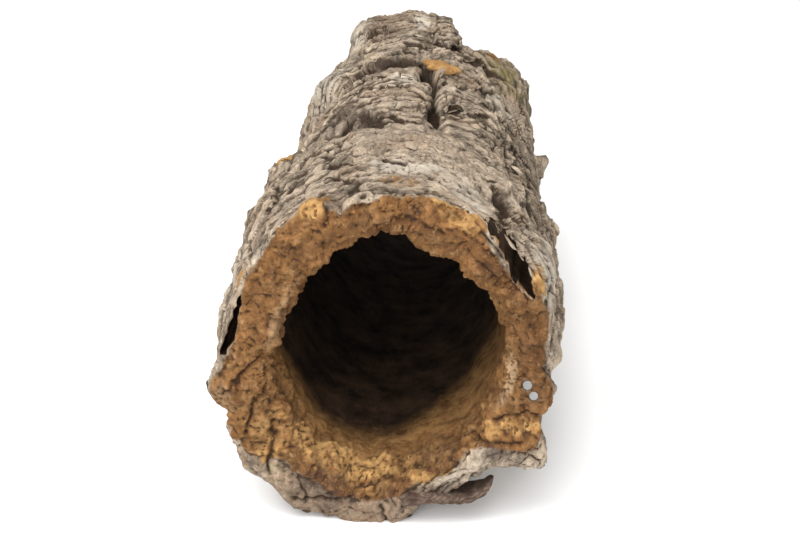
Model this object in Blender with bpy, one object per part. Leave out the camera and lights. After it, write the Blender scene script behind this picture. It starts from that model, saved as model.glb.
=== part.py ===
"""Cork bark tube, the bark of a cork oak branch that came off whole and lies on its side.

It is one piece of natural bark, open at both ends, so it is one object here. The tube's axis runs along Y,
with the mouth at -Y and the far end at +Y, and sinks a little towards the far end. The origin is on the
ground, under the middle of the tube. A place on the bark is given as angle and along: the angle in degrees
from the top, clockwise as seen by someone who looks into the mouth, and the distance in millimetres from
the plane of the mouth. Radii are measured from the tube's axis.
"""

import math

import bmesh
import bpy
import numpy as np

MM = 0.001

# Driving dimensions, in metres
LENGTH = 0.360  # from the mouth to the mean far edge
BODY_RADIUS_MOUTH = 0.0755
BODY_RADIUS_FAR = 0.0655
BORE_RADIUS_MIDDLE = 0.0515
BORE_RADIUS_FAR = 0.0475
AXIS_HEIGHT_MOUTH = 0.083
AXIS_HEIGHT_FAR = 0.0725
MOUTH_Y = -0.1953
AXIS_X = 0.0018
MOUTH_FADE = 0.030  # how far in the outline of the mouth turns into that of the body
BORE_FADE = 0.090
RIM_ROUND_OUTSIDE = 0.0035
FAR_ROUND = 0.006

# Fineness of the surface grid before it is thinned, and of the thinned solid
EVEN_LENGTH = 0.280  # as far as this the rows run straight round, and from here they turn to the far edge
EVEN_SHARE = 0.78
STEPS_AROUND = 216
STEPS_OUTSIDE = 150
STEPS_BORE = 40
STEPS_RIM = 10
TRIANGLES_KEPT = 10200

# Outlines in millimetres at equal angles from the top, clockwise
MOUTH_RADII = (
    74.5, 76.5, 75.5, 74, 73, 71, 69, 73, 77, 75, 70, 73,
    81, 84, 85.5, 84, 83, 80.5, 75, 72, 73, 74, 76, 74.5,
)
MOUTH_BORE_RADII = (
    57.5, 56.5, 55.5, 53, 53, 52.5, 51.5, 51, 52, 54, 56, 57,
    58, 58.5, 58, 57, 55, 53.5, 52, 51, 51, 52, 54, 56.5,
)
LIP_ROUND_MM = (
    4, 4, 4, 4, 5, 5, 6, 7, 8, 10, 13, 16,
    18, 18, 16, 13, 10, 8, 7, 6, 5, 4, 4, 4,
)

# The broken far edge: angle, along in millimetres
FAR_EDGE = (
    (-180, 346), (-150, 338), (-120, 350), (-90, 336), (-60, 332), (-46, 337), (-38, 352), (-32, 378),
    (-24, 391), (-10, 393), (0, 390), (10, 385), (16, 378), (18.5, 352), (22, 328), (30, 324),
    (45, 338), (60, 352), (75, 355), (90, 350), (120, 340), (150, 351), (180, 346),
)

# Swellings and hollows: angle, along, half width in degrees, half length and height in millimetres
LUMPS = (
    # The collar of thick bark behind the mouth
    (-57, 88, 20, 64, 5.0),
    (-54, 134, 9, 13, 4.0),
    (-80, 104, 10, 24, -4.5),
    (-84, 36, 16, 26, 2.0),
    (0, 66, 50, 34, 2.0),
    (60, 34, 12, 22, 3.5),
    # The waist behind it on the left, and the pale shoulders further on
    (-66, 214, 22, 46, -8.0),
    (-46, 268, 11, 20, 6.5),
    (-29, 350, 10, 44, 6.0),
    (-6, 352, 22, 50, 3.5),
    (55, 315, 16, 36, 6.0),
    # Knobs on the right
    (80, 252, 5, 9, 5.5),
    (79, 290, 5, 7, 3.5),
    (82, 140, 7, 17, 5.0),
    # The ear, its notches and its waist, and the knobs beside it
    (102, 1, 6, 8, 3.5),
    (93.5, 0, 3.5, 7, -6.0),
    (113, 0, 3.5, 7, -4.0),
    (104, 22, 9, 12, -8.0),
    (94, 17, 5, 6, 4.0),
    (127, 3, 7, 9, 9.5),
    (141, 4, 5, 9, -2.0),
    # The lobes at the lower left
    (-101, 1, 6, 9, 3.5),
    (-112, 1, 4, 9, -4.5),
    (-130, 1, 6, 9, 3.0),
    (-150, 0, 6, 9, 2.0),
    # The lump and the notch at the top left of the mouth
    (-25, 4, 5, 7, 4.0),
    (-17, 3, 3, 6, -4.0),
    # The trough and the deep places in the top of the bark
    (-12, 236, 19, 10, -5.0),
    (-13, 116, 8, 8, -6.0),
    (-29, 130, 9, 17, -5.0),
    (5, 225, 3, 17, -9.0),
    (11.5, 237, 5, 8, 4.0),
    (43.5, 40, 3, 7, -10.0),
    (-42, 88, 4, 7, -7.0),
    (-33, 250, 6, 20, 3.0),
    # The underside, broad and low, and the swellings that face away from the mouth
    (180, 190, 48, 400, 4.5),
    (135, 120, 18, 40, 3.5),
    (-128, 150, 20, 45, 3.5),
    (-140, 275, 18, 30, 3.0),
    (118, 265, 16, 32, 3.0),
)

# Low swellings under the tube that it stands on: angle, along, half width in degrees, half length, height
FEET = (
    (162, 48, 9, 18, 9.5),
    (-163, 44, 9, 18, 9.0),
    (164, 306, 10, 18, 8.0),
    (-163, 312, 10, 18, 8.5),
)

# Ledges across the bark, high on the near side and low on the far side: the rise to the line and the drop
# behind it, how far the step takes to die away, all in millimetres, then the line as angle, along
LEDGES = (
    (3.0, 7.0, 26, (
        (-92, 150), (-75, 151), (-60, 141), (-50, 130), (-40, 119), (-30, 112), (-18, 105), (-9, 101),
        (0, 106), (5, 110),
    )),
    (2.0, 2.5, 14, ((2, 107), (8, 112), (16, 109), (26, 103), (36, 99), (46, 92))),
    (2.0, 2.0, 9, ((-46, 103), (-38, 99), (-30, 92), (-20, 97), (-12, 99))),
    (2.5, 3.0, 12, ((-88, 22), (-75, 26), (-60, 40), (-45, 53), (-30, 59), (-20, 64), (-13, 60))),
    (2.0, 3.0, 12, ((-78, 56), (-60, 68), (-45, 77), (-34, 86), (-25, 90))),
    (2.0, 2.0, 10, ((-88, 78), (-74, 96), (-60, 106), (-48, 108))),
    (2.5, 3.0, 12, ((-46, 160), (-36, 170), (-24, 178), (-12, 187), (0, 189), (5, 182))),
    (2.0, 2.5, 9, ((-30, 196), (-15, 199), (-4, 206), (3, 203))),
    (3.5, 4.5, 12, ((-36, 214), (-26, 223), (-10, 228), (3, 224))),
    (-3.0, -4.0, 12, ((-34, 238), (-22, 249), (-8, 252), (3, 247))),
    (2.5, 3.5, 14, ((10, 133), (14, 152), (21, 167), (30, 165), (40, 150), (50, 130), (58, 112))),
    (3.5, 4.0, 14, ((10, 180), (16, 204), (24, 221), (34, 216), (45, 197), (55, 172), (64, 148))),
    (2.0, 3.0, 10, ((18, 190), (26, 202), (34, 194), (44, 170), (52, 150))),
    (3.0, 3.5, 14, ((16, 250), (28, 262), (40, 252), (52, 232), (64, 205))),
    (2.0, 3.0, 11, ((-24, 262), (-12, 272), (0, 276), (8, 270))),
    (2.0, 3.0, 12, ((-30, 300), (-18, 312), (-4, 318), (8, 312), (18, 302))),
    (2.5, 3.5, 14, ((-92, 215), (-76, 238), (-60, 248), (-46, 236))),
    (2.0, 3.0, 12, ((-86, 285), (-70, 300), (-54, 306), (-40, 296))),
    (2.5, 3.5, 14, ((66, 96), (78, 110), (92, 118), (106, 108))),
    (2.5, 3.5, 14, ((70, 222), (84, 260), (98, 262), (112, 246))),
)
LEDGE_EDGE = 1.2  # half the length along the tube over which a ledge drops

# Grooves along the bark: depth and half width in millimetres, then the line as along, angle
GROOVES = (
    (5.0, 3.2, ((118, 10.5), (140, 9.5), (165, 9), (190, 8), (215, 7))),
    (3.5, 3.5, ((120, 60), (160, 56), (210, 52), (260, 45), (300, 38))),
    (3.0, 3.5, ((104, 50), (140, 47), (170, 49))),
    (3.5, 3.5, ((120, -48), (150, -42), (190, -38), (230, -34), (262, -30))),
    (3.5, 4.0, ((60, -96), (120, -92), (190, -98), (250, -92))),
    (4.0, 4.0, ((30, 142), (90, 128), (160, 134), (230, 124), (320, 132))),
    (4.0, 4.0, ((40, -142), (110, -150), (180, -146), (260, -156), (330, -150))),
    (3.5, 4.0, ((110, 98), (170, 104), (240, 96), (330, 104))),
    (9.0, 7.5, ((16, 103.5), (36, 113), (60, 124))),
)

# Unevenness: height, then the size of its bumps round the tube and along it, in millimetres, and a seed
ROUGH_BARK = ((2.0, 45, 55, 1), (1.5, 19, 16, 2), (0.8, 10, 8, 4))
ROUGH_BORE = ((1.6, 22, 60, 21), (0.9, 11, 18, 22))
ROUGH_RIM = (1.2, 12, 41)
RAGGED_EDGE = (3.5, 11, 3)
RAGGED_MOUTH = (1.5, 18, 31)
ROUGH_SHARE_AT_MOUTH = 0.35
BARK_RADIUS = 72  # the mean radii on which widths and bumps round the tube are measured, in millimetres
BORE_RADIUS = 50

# Growth layers all over the bark, as steps along the tube, in millimetres
LAYER_LENGTH = 19
LAYER_HEIGHT = 3.8
LAYER_BEND = (1.1, 34, 60, 11)
LAYER_PATCHES = (28, 34, 12)
LAYERS_START = (24, 60)

# Slabs that follow the round of the mouth. Each row is an angle, the radius and half the thickness of the
# slab there, and where it starts and stops along the tube, in millimetres.
CREVICE = (
    (31, 77.5, 1.2, -10, 12), (38, 73.5, 2.4, -10, 22), (46, 71.0, 3.4, -10, 30), (54, 69.5, 3.8, -10, 32),
    (61, 68.5, 1.6, -10, 20),
)
FLAKE_GAP = (
    (-70, 67.5, 0.6, -10, 8), (-77, 68.5, 1.6, -10, 16), (-84, 70.0, 2.0, -10, 20), (-90, 72.5, 1.0, -10, 14),
)
CURLED_FLAKE = (
    (178, 71.0, 3.0, -2, 28), (172, 71.0, 3.2, -2.5, 27), (165, 71.8, 3.0, -2, 25), (159, 75.0, 2.7, -1, 22),
    (153, 78.7, 2.3, 0, 19), (147.5, 79.0, 1.8, 1, 15), (142.5, 76.5, 1.0, 2.5, 11),
)
SLAB_TAPER = 0.5  # thickness of a slab at its far side as a share of that at its near side

# Two insect holes through the ear of cork at the right of the mouth: angle, radius, width, in millimetres
INSECT_HOLES = ((100.3, 61.3, 4.2), (104.4, 65.3, 3.9))
HOLE_SLOPE = (0.03, 0.89, -0.45)
HOLE_LENGTH = 0.076

BARK_COLOUR = (0.30, 0.255, 0.205, 1.0)
BARK_ROUGHNESS = 0.92


def corner_number(i, j, k, seed):
    """A fixed number from 0 to 255 for each corner of a whole-number lattice, by mixing the bits."""
    mixed = (i * 73856093) ^ (j * 19349663) ^ (k * 83492791) ^ (seed * 2654435761)
    mixed = (mixed ^ (mixed >> 13)) * 1274126177
    return ((mixed ^ (mixed >> 16)) >> 4) & 255


def lattice_noise(x, y, z, seed=0):
    """Smooth noise from about -1 to 1: each lattice corner has a direction, and the eight near ones blend."""
    i, j, k = (np.floor(v).astype(np.int64) for v in (x, y, z))
    u, v, w = x - i, y - j, z - k
    fade_u, fade_v, fade_w = (t * t * t * (t * (t * 6 - 15) + 10) for t in (u, v, w))
    total = 0.0
    for a in (0, 1):
        for b in (0, 1):
            for c in (0, 1):
                corner = corner_number(i + a, j + b, k + c, seed)
                turn = corner * (2 * math.pi / 256)
                rise = (corner * 7 % 256) / 127.5 - 1
                flat = np.sqrt(1 - rise * rise)
                slope = (u - a) * flat * np.cos(turn) + (v - b) * flat * np.sin(turn) + (w - c) * rise
                share = (fade_u if a else 1 - fade_u) * (fade_v if b else 1 - fade_v)
                total = total + slope * share * (fade_w if c else 1 - fade_w)
    return total * 1.6


def smooth(low, high, value):
    """0 below low, 1 above high, with a smooth rise between."""
    t = np.clip((value - low) / (high - low), 0, 1)
    return t * t * (3 - 2 * t)


def turn_between(angle, other):
    """The signed difference of two angles in degrees, from -180 to 180."""
    return np.mod(angle - other + 180, 360) - 180


def round_noise(angle, along, radius, around, ahead, seed):
    """Noise on the round of the tube, whose bumps have one size round it and another along it."""
    turn = np.radians(angle)
    return lattice_noise(radius * np.sin(turn) / around, along / ahead, radius * np.cos(turn) / around, seed)


def fade(values, margin_before, margin_in, value):
    """1 between the first and the last of the values, and fading to 0 a little beyond each."""
    first, last = values[0], values[-1]
    return smooth(first - margin_before, first + margin_in, value) * smooth(
        -last - margin_before, margin_in - last, -value
    )


def read_outline(radii, angle):
    """Reads a closed outline of equally spaced radii at an angle in degrees, by a Catmull-Rom curve."""
    radii = np.asarray(radii, dtype=float)
    place = np.mod(angle / 360, 1) * len(radii)
    index = np.floor(place).astype(int)
    t = place - index
    a, b, c, d = (radii[(index + step) % len(radii)] for step in (-1, 0, 1, 2))
    return b + 0.5 * t * (c - a + t * (2 * a - 5 * b + 4 * c - d + t * (3 * (b - c) + d - a)))


def far_edge(angle):
    """How far from the mouth the tube reaches at each angle."""
    angles, alongs = zip(*FAR_EDGE)
    height, size, seed = RAGGED_EDGE
    ragged = height * round_noise(angle, 0 * angle, BARK_RADIUS, size, size, seed)
    return (np.interp(turn_between(angle, 0), angles, alongs) + ragged) * MM


def lump_relief(angle, along, lumps):
    """The sum of rounded swellings, each a bell curve both ways, in millimetres."""
    total = 0.0
    for at, far, wide, long, height in lumps:
        across = turn_between(angle, at) / wide
        ahead = (along - far) / long
        total = total + height * np.exp(-1.2 * (across * across + ahead * ahead))
    return total


def ledge_relief(angle, along):
    """Steps across the bark: each rises to its line, drops, and dies away on both sides, in millimetres."""
    total = 0.0
    for rise, drop, reach, line in LEDGES:
        angles, alongs = zip(*line)
        past = along - np.interp(angle, angles, alongs)
        inside = fade(angles, 6, 4, angle)
        beyond = smooth(-LEDGE_EDGE, LEDGE_EDGE, past)
        total = total + inside * (rise * (1 - beyond) - drop * beyond) * np.exp(-np.abs(past) / reach)
    return total


def groove_relief(angle, along):
    """Furrows along the bark: each is deepest on its line and closes over its half width, in millimetres."""
    total = 0.0
    for depth, half_width, line in GROOVES:
        alongs, angles = zip(*line)
        off = np.radians(turn_between(angle, np.interp(along, alongs, angles))) * BARK_RADIUS
        total = total - depth * fade(alongs, 12, 8, along) * np.exp(-((off / half_width) ** 2))
    return total


def layer_relief(angle, along):
    """Growth layers all over the bark: a saw-tooth along the tube, bent and broken up by noise."""
    bend, *size = LAYER_BEND
    phase = along / LAYER_LENGTH + bend * round_noise(angle, along, BARK_RADIUS, *size)
    tooth = np.mod(phase, 1)
    saw = tooth - smooth(0.84, 1.0, tooth)
    patchy = smooth(-0.25, 0.45, round_noise(angle, along, BARK_RADIUS, *LAYER_PATCHES))
    return LAYER_HEIGHT * (saw - 0.42) * patchy * smooth(*LAYERS_START, along)


def rough_relief(angle, along, radius, layers):
    """Unevenness in several sizes, in millimetres."""
    return sum(height * round_noise(angle, along, radius, *size) for height, *size in layers)


def bark_radius(angle, along_m):
    """The outer radius: the outline of the mouth turns into a tapered body, with all the relief on it."""
    along = along_m / MM
    body = BODY_RADIUS_MOUTH + (BODY_RADIUS_FAR - BODY_RADIUS_MOUTH) * along_m / LENGTH
    mouth = read_outline(MOUTH_RADII, angle) * MM
    inwards = smooth(0, 1, along_m / MOUTH_FADE)
    share = ROUGH_SHARE_AT_MOUTH + (1 - ROUGH_SHARE_AT_MOUTH) * inwards
    relief = share * rough_relief(angle, along, BARK_RADIUS, ROUGH_BARK)
    relief = relief + lump_relief(angle, along, LUMPS + FEET)
    relief = relief + ledge_relief(angle, along) + groove_relief(angle, along) + layer_relief(angle, along)
    return mouth + (body - mouth) * inwards + relief * MM


def bore_radius(angle, along_m):
    """The inner radius: the outline of the bore at the mouth narrows to the middle and on to the far end."""
    along = along_m / MM
    mouth = read_outline(MOUTH_BORE_RADII, angle) * MM
    share = smooth(0, BORE_FADE, along_m)
    body = BORE_RADIUS_MIDDLE + (BORE_RADIUS_FAR - BORE_RADIUS_MIDDLE) * smooth(BORE_FADE, LENGTH, along_m)
    return mouth + (body - mouth) * share + rough_relief(angle, along, BORE_RADIUS, ROUGH_BORE) * MM


def place(angle, along_m, radius):
    """Points in metres from an angle, a distance from the mouth and a radius."""
    turn = np.radians(angle)
    sink = (AXIS_HEIGHT_FAR - AXIS_HEIGHT_MOUTH) * along_m / LENGTH
    x = AXIS_X + radius * np.sin(turn)
    z = AXIS_HEIGHT_MOUTH + sink + radius * np.cos(turn)
    return np.stack((x, MOUTH_Y + along_m + 0 * x, z), axis=-1)


def tube_points():
    """The whole skin as a grid: round the tube one way, and out, round the far rim, back through the bore
    and round the near rim the other way. Each rim is two quarter ovals that meet in the middle of the wall.
    """
    angle = np.linspace(-180, 180, STEPS_AROUND, endpoint=False)[:, None]
    end = far_edge(angle)
    lip = read_outline(LIP_ROUND_MM, angle) * MM
    height, size, seed = RAGGED_MOUTH
    start = height * MM * round_noise(angle, 0 * angle, BARK_RADIUS, size, size, seed)

    share = np.linspace(0, 1, STEPS_OUTSIDE)
    straight = RIM_ROUND_OUTSIDE + (EVEN_LENGTH - RIM_ROUND_OUTSIDE) * np.minimum(share / EVEN_SHARE, 1)
    stretch = np.maximum(share - EVEN_SHARE, 0) / (1 - EVEN_SHARE)
    outside_along = straight + (end - FAR_ROUND - EVEN_LENGTH) * stretch
    outside = place(angle, outside_along, bark_radius(angle, outside_along))
    bore_along = lip + (end - FAR_ROUND - lip) * np.linspace(1, 0, STEPS_BORE)
    bore = place(angle, bore_along, bore_radius(angle, bore_along))

    def rim(start_radius, stop_radius, start_along, stop_along, edge, share):
        """Quarter ovals from one wall to the rim's edge and on to the other wall."""
        middle = start_radius + (stop_radius - start_radius) * share
        turn = np.linspace(0, math.pi / 2, STEPS_RIM + 1)[1:-1]
        first_radius = middle + (start_radius - middle) * np.cos(turn)
        first_along = start_along + (edge - start_along) * np.sin(turn)
        turn = turn[::-1]
        second_radius = middle + (stop_radius - middle) * np.cos(turn)
        second_along = stop_along + (edge - stop_along) * np.sin(turn)
        radius = np.concatenate((first_radius, middle, second_radius), axis=1)
        along = np.concatenate((first_along, edge + 0 * middle, second_along), axis=1)
        height, size, seed = ROUGH_RIM
        uneven = height * MM * round_noise(angle, along / MM, radius / MM, size, size, seed)
        return place(angle, along + uneven, radius)

    wall_end, near_start = end - FAR_ROUND, RIM_ROUND_OUTSIDE + 0 * end
    far_rim = rim(bark_radius(angle, wall_end), bore_radius(angle, wall_end), wall_end, wall_end, end, 0.5)
    near_rim = rim(bore_radius(angle, lip), bark_radius(angle, near_start), lip, near_start, start, 0.6)
    return np.concatenate((outside, far_rim, bore, near_rim), axis=1)


def mesh_from_grid(name, points):
    """A closed mesh from a grid of points that joins up with itself both ways."""
    across, along = points.shape[:2]
    first = np.arange(across * along).reshape(across, along)
    beside = np.roll(first, -1, 0)
    faces = np.stack((first, beside, np.roll(beside, -1, 1), np.roll(first, -1, 1)), -1)
    mesh = bpy.data.meshes.new(name)
    mesh.from_pydata(points.reshape(-1, 3).tolist(), [], faces.reshape(-1, 4).tolist())
    return face_outwards(mesh)


def face_outwards(mesh):
    """Turns all faces outwards."""
    work = bmesh.new()
    work.from_mesh(mesh)
    bmesh.ops.recalc_face_normals(work, faces=work.faces)
    work.to_mesh(mesh)
    work.free()
    return mesh


def add_object(name, mesh, cutter=False):
    """An object with this mesh. A cutter stays out of the render and shows as wire."""
    made = bpy.data.objects.new(name, mesh)
    bpy.context.scene.collection.objects.link(made)
    if cutter:
        made.hide_render = True
        made.display_type = "WIRE"
    return made


def slab(name, rows):
    """A curved slab that follows the round of the tube, read smoothly from rows as the tables above give."""
    places = np.linspace(0, len(rows) - 1, 3 * len(rows))
    angle, radius, half, near, far = (np.interp(places, np.arange(len(rows)), v) for v in zip(*rows))
    radius, half, near, far = radius * MM, half * MM, near * MM, far * MM
    rings = [
        place(angle, near, radius - half),
        place(angle, near, radius + half),
        place(angle, far, radius + half * SLAB_TAPER),
        place(angle, far, radius - half * SLAB_TAPER),
    ]
    work = bmesh.new()
    edges = [[work.verts.new(point) for point in ring] for ring in rings]
    for edge, following in zip(edges, edges[1:] + edges[:1]):
        for a, b, c, d in zip(edge, edge[1:], following[1:], following):
            work.faces.new((a, b, c, d))
    for end in (0, -1):
        work.faces.new([edge[end] for edge in edges])
    bmesh.ops.recalc_face_normals(work, faces=work.faces)
    bmesh.ops.triangulate(work, faces=work.faces)
    mesh = bpy.data.meshes.new(name)
    work.to_mesh(mesh)
    work.free()
    return add_object(name, mesh, cutter=True)


def make_insect_hole(number, angle, radius, width):
    """The cutter for one insect hole: a narrow rod through the ear of cork, on a slope."""
    work = bmesh.new()
    bmesh.ops.create_cone(
        work, cap_ends=True, segments=7, radius1=width * MM / 2, radius2=width * MM / 2, depth=HOLE_LENGTH
    )
    mesh = bpy.data.meshes.new(f"insect_hole_{number}")
    work.to_mesh(mesh)
    work.free()
    hole = add_object(mesh.name, mesh, cutter=True)
    hole.rotation_mode = "QUATERNION"
    slope = np.array(HOLE_SLOPE)
    middle = place(np.array(angle), np.array(0.0), np.array(radius * MM)) + slope * HOLE_LENGTH / 4
    hole.location = middle
    direction = slope / np.linalg.norm(slope)
    turn = math.acos(direction[2])
    axis = np.cross((0, 0, 1), direction)
    axis = axis / np.linalg.norm(axis)
    hole.rotation_quaternion = (math.cos(turn / 2), *(axis * math.sin(turn / 2)))
    return hole


def make_ground_cutter():
    """A block below the ground that leaves the low swellings with flat spots to stand on."""
    work = bmesh.new()
    bmesh.ops.create_cube(work, size=1)
    bmesh.ops.scale(work, verts=work.verts, vec=(0.5, 0.6, 0.1))
    bmesh.ops.translate(work, verts=work.verts, vec=(0, 0, -0.05))
    mesh = bpy.data.meshes.new("ground")
    work.to_mesh(mesh)
    work.free()
    return add_object("ground", mesh, cutter=True)


def boolean(target, other, operation):
    """Joins or cuts with the exact solver."""
    step = target.modifiers.new(other.name, "BOOLEAN")
    step.operation = operation
    step.solver = "EXACT"
    step.object = other


def bark_material():
    """Weathered cork bark: warm grey and quite matt."""
    material = bpy.data.materials.new("cork_bark")
    material.use_nodes = True
    surface = material.node_tree.nodes["Principled BSDF"]
    surface.inputs["Base Color"].default_value = BARK_COLOUR
    surface.inputs["Roughness"].default_value = BARK_ROUGHNESS
    surface.inputs["Metallic"].default_value = 0.0
    return material


def make_tube():
    """The tube of bark: a fine skin, thinned, with the flake joined on and the gaps and holes cut out."""
    tube = add_object("cork_bark_tube", mesh_from_grid("cork_bark_tube", tube_points()))
    tube.data.materials.append(bark_material())
    thin = tube.modifiers.new("thin", "DECIMATE")
    thin.ratio = TRIANGLES_KEPT / (2 * len(tube.data.polygons))
    boolean(tube, slab("curled_flake", CURLED_FLAKE), "UNION")
    boolean(tube, slab("crevice", CREVICE), "DIFFERENCE")
    boolean(tube, slab("flake_gap", FLAKE_GAP), "DIFFERENCE")
    for number, (angle, radius, width) in enumerate(INSECT_HOLES, start=1):
        boolean(tube, make_insect_hole(number, angle, radius, width), "DIFFERENCE")
    boolean(tube, make_ground_cutter(), "DIFFERENCE")
    return tube


def main():
    for old in list(bpy.data.objects):
        bpy.data.objects.remove(old, do_unlink=True)
    make_tube()


main()
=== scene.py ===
"""The look of a cork bark tube that lies on its side, laid out as an add-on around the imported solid.

The tube's skin is one closed surface in four lengths that run into each other: the mouth with its torn rim,
the collar of thick bark, the two lobes and the far end. A place on it is given as angle and along: the angle
in degrees from the top, clockwise as seen by someone who looks into the mouth, and the distance in
millimetres from the plane of the mouth. Radii are in millimetres from the tube's axis, which runs along Y
and sinks a little towards the far end.
"""

import math

import bpy
import numpy as np
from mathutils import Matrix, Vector


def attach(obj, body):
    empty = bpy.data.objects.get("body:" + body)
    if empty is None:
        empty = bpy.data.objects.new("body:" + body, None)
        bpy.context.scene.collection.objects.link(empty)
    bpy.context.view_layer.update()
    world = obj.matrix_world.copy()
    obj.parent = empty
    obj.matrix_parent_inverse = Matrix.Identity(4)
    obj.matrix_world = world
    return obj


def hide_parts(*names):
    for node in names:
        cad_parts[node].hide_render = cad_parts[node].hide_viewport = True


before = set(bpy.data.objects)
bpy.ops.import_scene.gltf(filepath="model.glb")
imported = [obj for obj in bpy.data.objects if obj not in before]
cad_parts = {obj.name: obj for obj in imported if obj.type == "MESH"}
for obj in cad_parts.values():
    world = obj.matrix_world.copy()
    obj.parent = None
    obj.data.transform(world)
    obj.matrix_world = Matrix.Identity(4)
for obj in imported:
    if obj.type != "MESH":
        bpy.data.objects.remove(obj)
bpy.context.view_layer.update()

bl_info = {
    "name": "Cork Bark Tube",
    "version": (1, 0, 0),
    "blender": (4, 5, 0),
    "location": "View3D > Sidebar > Cork",
    "description": "Builds an open tube of natural cork bark with its torn rim, ledges, flakes and crumbs",
    "category": "Add Mesh",
}

MM = 0.001
NODE = "cork_bark_tube"
BODY = "root"
MOUTH = "tube_mouth"

# The tube, in millimetres
LENGTH = 360
BODY_RADIUS_MOUTH = 75.5
BODY_RADIUS_FAR = 65.5
BORE_RADIUS_MIDDLE = 51.5
BORE_RADIUS_FAR = 47.5
AXIS_HEIGHT_MOUTH = 83
AXIS_HEIGHT_FAR = 72.5
MOUTH_Y = -195.3
AXIS_X = 1.8
MOUTH_FADE = 30  # over which the outline of the mouth turns into the body
BORE_FADE = 90
RIM_ROUND_OUTSIDE = 3.5
FAR_ROUND = 6
EVEN_LENGTH = 280  # up to where the rows of the skin run straight round
EVEN_SHARE = 0.43  # the share of the far end's rows that do
GROUND_CLEARANCE = 0.05

# Where one length of the skin runs into the next, how far each reaches past that, and how deep it dives there
COLLAR_AT = 42
LOBES_AT = 122
FAR_END_AT = 208
OVERLAP = 6
DIVE = 3.0
JOINT_WANDER = (6.0, 16, 51)
WALL = 25  # the mean thickness of the wall
FAR_RIM_MIDDLE = 0.5  # where the edge of a rim lies, as a share of the wall
MOUTH_RIM_MIDDLE = 0.6

# Steps along each length: on the outside, in the bore and over each half of a rim
MOUTH_ROWS = (48, 34, 28)
COLLAR_ROWS = (150, 24, 0)
LOBES_ROWS = (164, 24, 0)
FAR_END_ROWS = (150, 24, 9)
BURIED_ROWS = 3
BODY_CROWDING = 0.3  # how much closer together the steps round the tube are at its top, as a share

# Outlines in millimetres at equal angles from the top, clockwise
MOUTH_RADII = (
    74.5, 76.5, 75.5, 74, 73, 71, 69, 73, 77, 75, 70, 73,
    81, 84, 85.5, 84, 83, 80.5, 75, 72, 73, 74, 76, 74.5,
)
MOUTH_BORE_RADII = (
    57.5, 56.5, 55.5, 53, 53, 52.5, 51.5, 51, 52, 54, 56, 57,
    58, 58.5, 58, 57, 55, 53.5, 52, 51, 51, 52, 54, 56.5,
)
LIP_ROUND = (
    4, 4, 4, 4, 5, 5, 6, 7, 8, 10, 13, 16,
    18, 18, 16, 13, 10, 8, 7, 6, 5, 4, 4, 4,
)
# How far into the rim the grey bark reaches, as a share of the wall from its outside
BARK_OVER_RIM = (
    0.02, 0.00, 0.10, 0.42, 0.10, 0.03, 0.05, 0.02, 0.16, 0.72, 0.80, 0.76,
    0.56, 0.50, 0.56, 0.48, 0.08, 0.03, 0.20, 0.20, 0.10, 0.05, 0.00, 0.12,
)
BARK_OVER_FAR_RIM = 0.1
# How deep into the bore the painted light reaches: up to there the cork is painted lit and golden, deeper in
# it is painted dark
LIT_DEPTH = (
    20, 20, 20, 20, 30, 50, 70, 80, 74, 62, 50, 40,
    33, 29, 28, 30, 32, 31, 27, 22, 20, 20, 20, 20,
)

# The broken far edge: angle, along
FAR_EDGE = (
    (-180, 346), (-150, 338), (-120, 350), (-90, 336), (-60, 332), (-46, 337), (-38, 352), (-32, 378),
    (-24, 391), (-10, 393), (0, 390), (10, 385), (16, 378), (18.5, 352), (22, 328), (30, 324),
    (45, 338), (60, 352), (75, 355), (90, 350), (120, 340), (150, 351), (180, 346),
)

# Swellings and hollows: angle, along, half width in degrees, half length and height
LUMPS = (
    # The collar of thick bark behind the mouth
    (-57, 88, 20, 64, 5.0),
    (-54, 134, 9, 13, 4.0),
    (-80, 104, 10, 24, -4.5),
    (-84, 36, 16, 26, 2.0),
    (0, 66, 50, 34, 2.0),
    (60, 34, 12, 22, 3.5),
    # The waist behind it on the left, and the pale shoulders further on
    (-66, 214, 22, 46, -8.0),
    (-46, 268, 11, 20, 6.5),
    (-29, 350, 10, 44, 6.0),
    (-6, 352, 22, 50, 3.5),
    (55, 315, 16, 36, 6.0),
    # Knobs on the right
    (80, 252, 5, 9, 5.5),
    (79, 290, 5, 7, 3.5),
    (82, 140, 7, 17, 5.0),
    # The ear, its notches and its waist, and the knobs beside it
    (102, 1, 6, 8, 3.5),
    (93.5, 0, 3.5, 7, -6.0),
    (113, 0, 3.5, 7, -4.0),
    (104, 22, 9, 12, -8.0),
    (94, 17, 5, 6, 4.0),
    (127, 3, 7, 9, 9.5),
    (141, 4, 5, 9, -2.0),
    # The lobes at the lower left
    (-101, 1, 6, 9, 3.5),
    (-112, 1, 4, 9, -4.5),
    (-130, 1, 6, 9, 3.0),
    (-150, 0, 6, 9, 2.0),
    # The lump and the notch at the top left of the mouth
    (-25, 4, 5, 7, 4.0),
    (-17, 3, 3, 6, -4.0),
    # The trough and the deep places in the top of the bark
    (-12, 236, 19, 10, -5.0),
    (-13, 116, 8, 8, -6.0),
    (-29, 130, 9, 17, -5.0),
    (5, 225, 3, 17, -9.0),
    (11.5, 237, 5, 8, 4.0),
    (43.5, 40, 3, 7, -10.0),
    (40, 49, 4, 6, -3.8),
    (41, 68, 5, 6, 4.0),
    (-42, 88, 4, 7, -7.0),
    (-33, 250, 6, 20, 3.0),
    # The underside, broad and low, and the swellings that face away from the mouth
    (180, 190, 48, 400, 4.5),
    (135, 120, 18, 40, 3.5),
    (-128, 150, 20, 45, 3.5),
    (-140, 275, 18, 30, 3.0),
    (118, 265, 16, 32, 3.0),
    # Low swellings under the tube that it stands on
    (162, 48, 9, 18, 9.5),
    (-163, 44, 9, 18, 9.0),
    (164, 306, 10, 18, 8.0),
    (-163, 312, 10, 18, 8.5),
)

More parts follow.
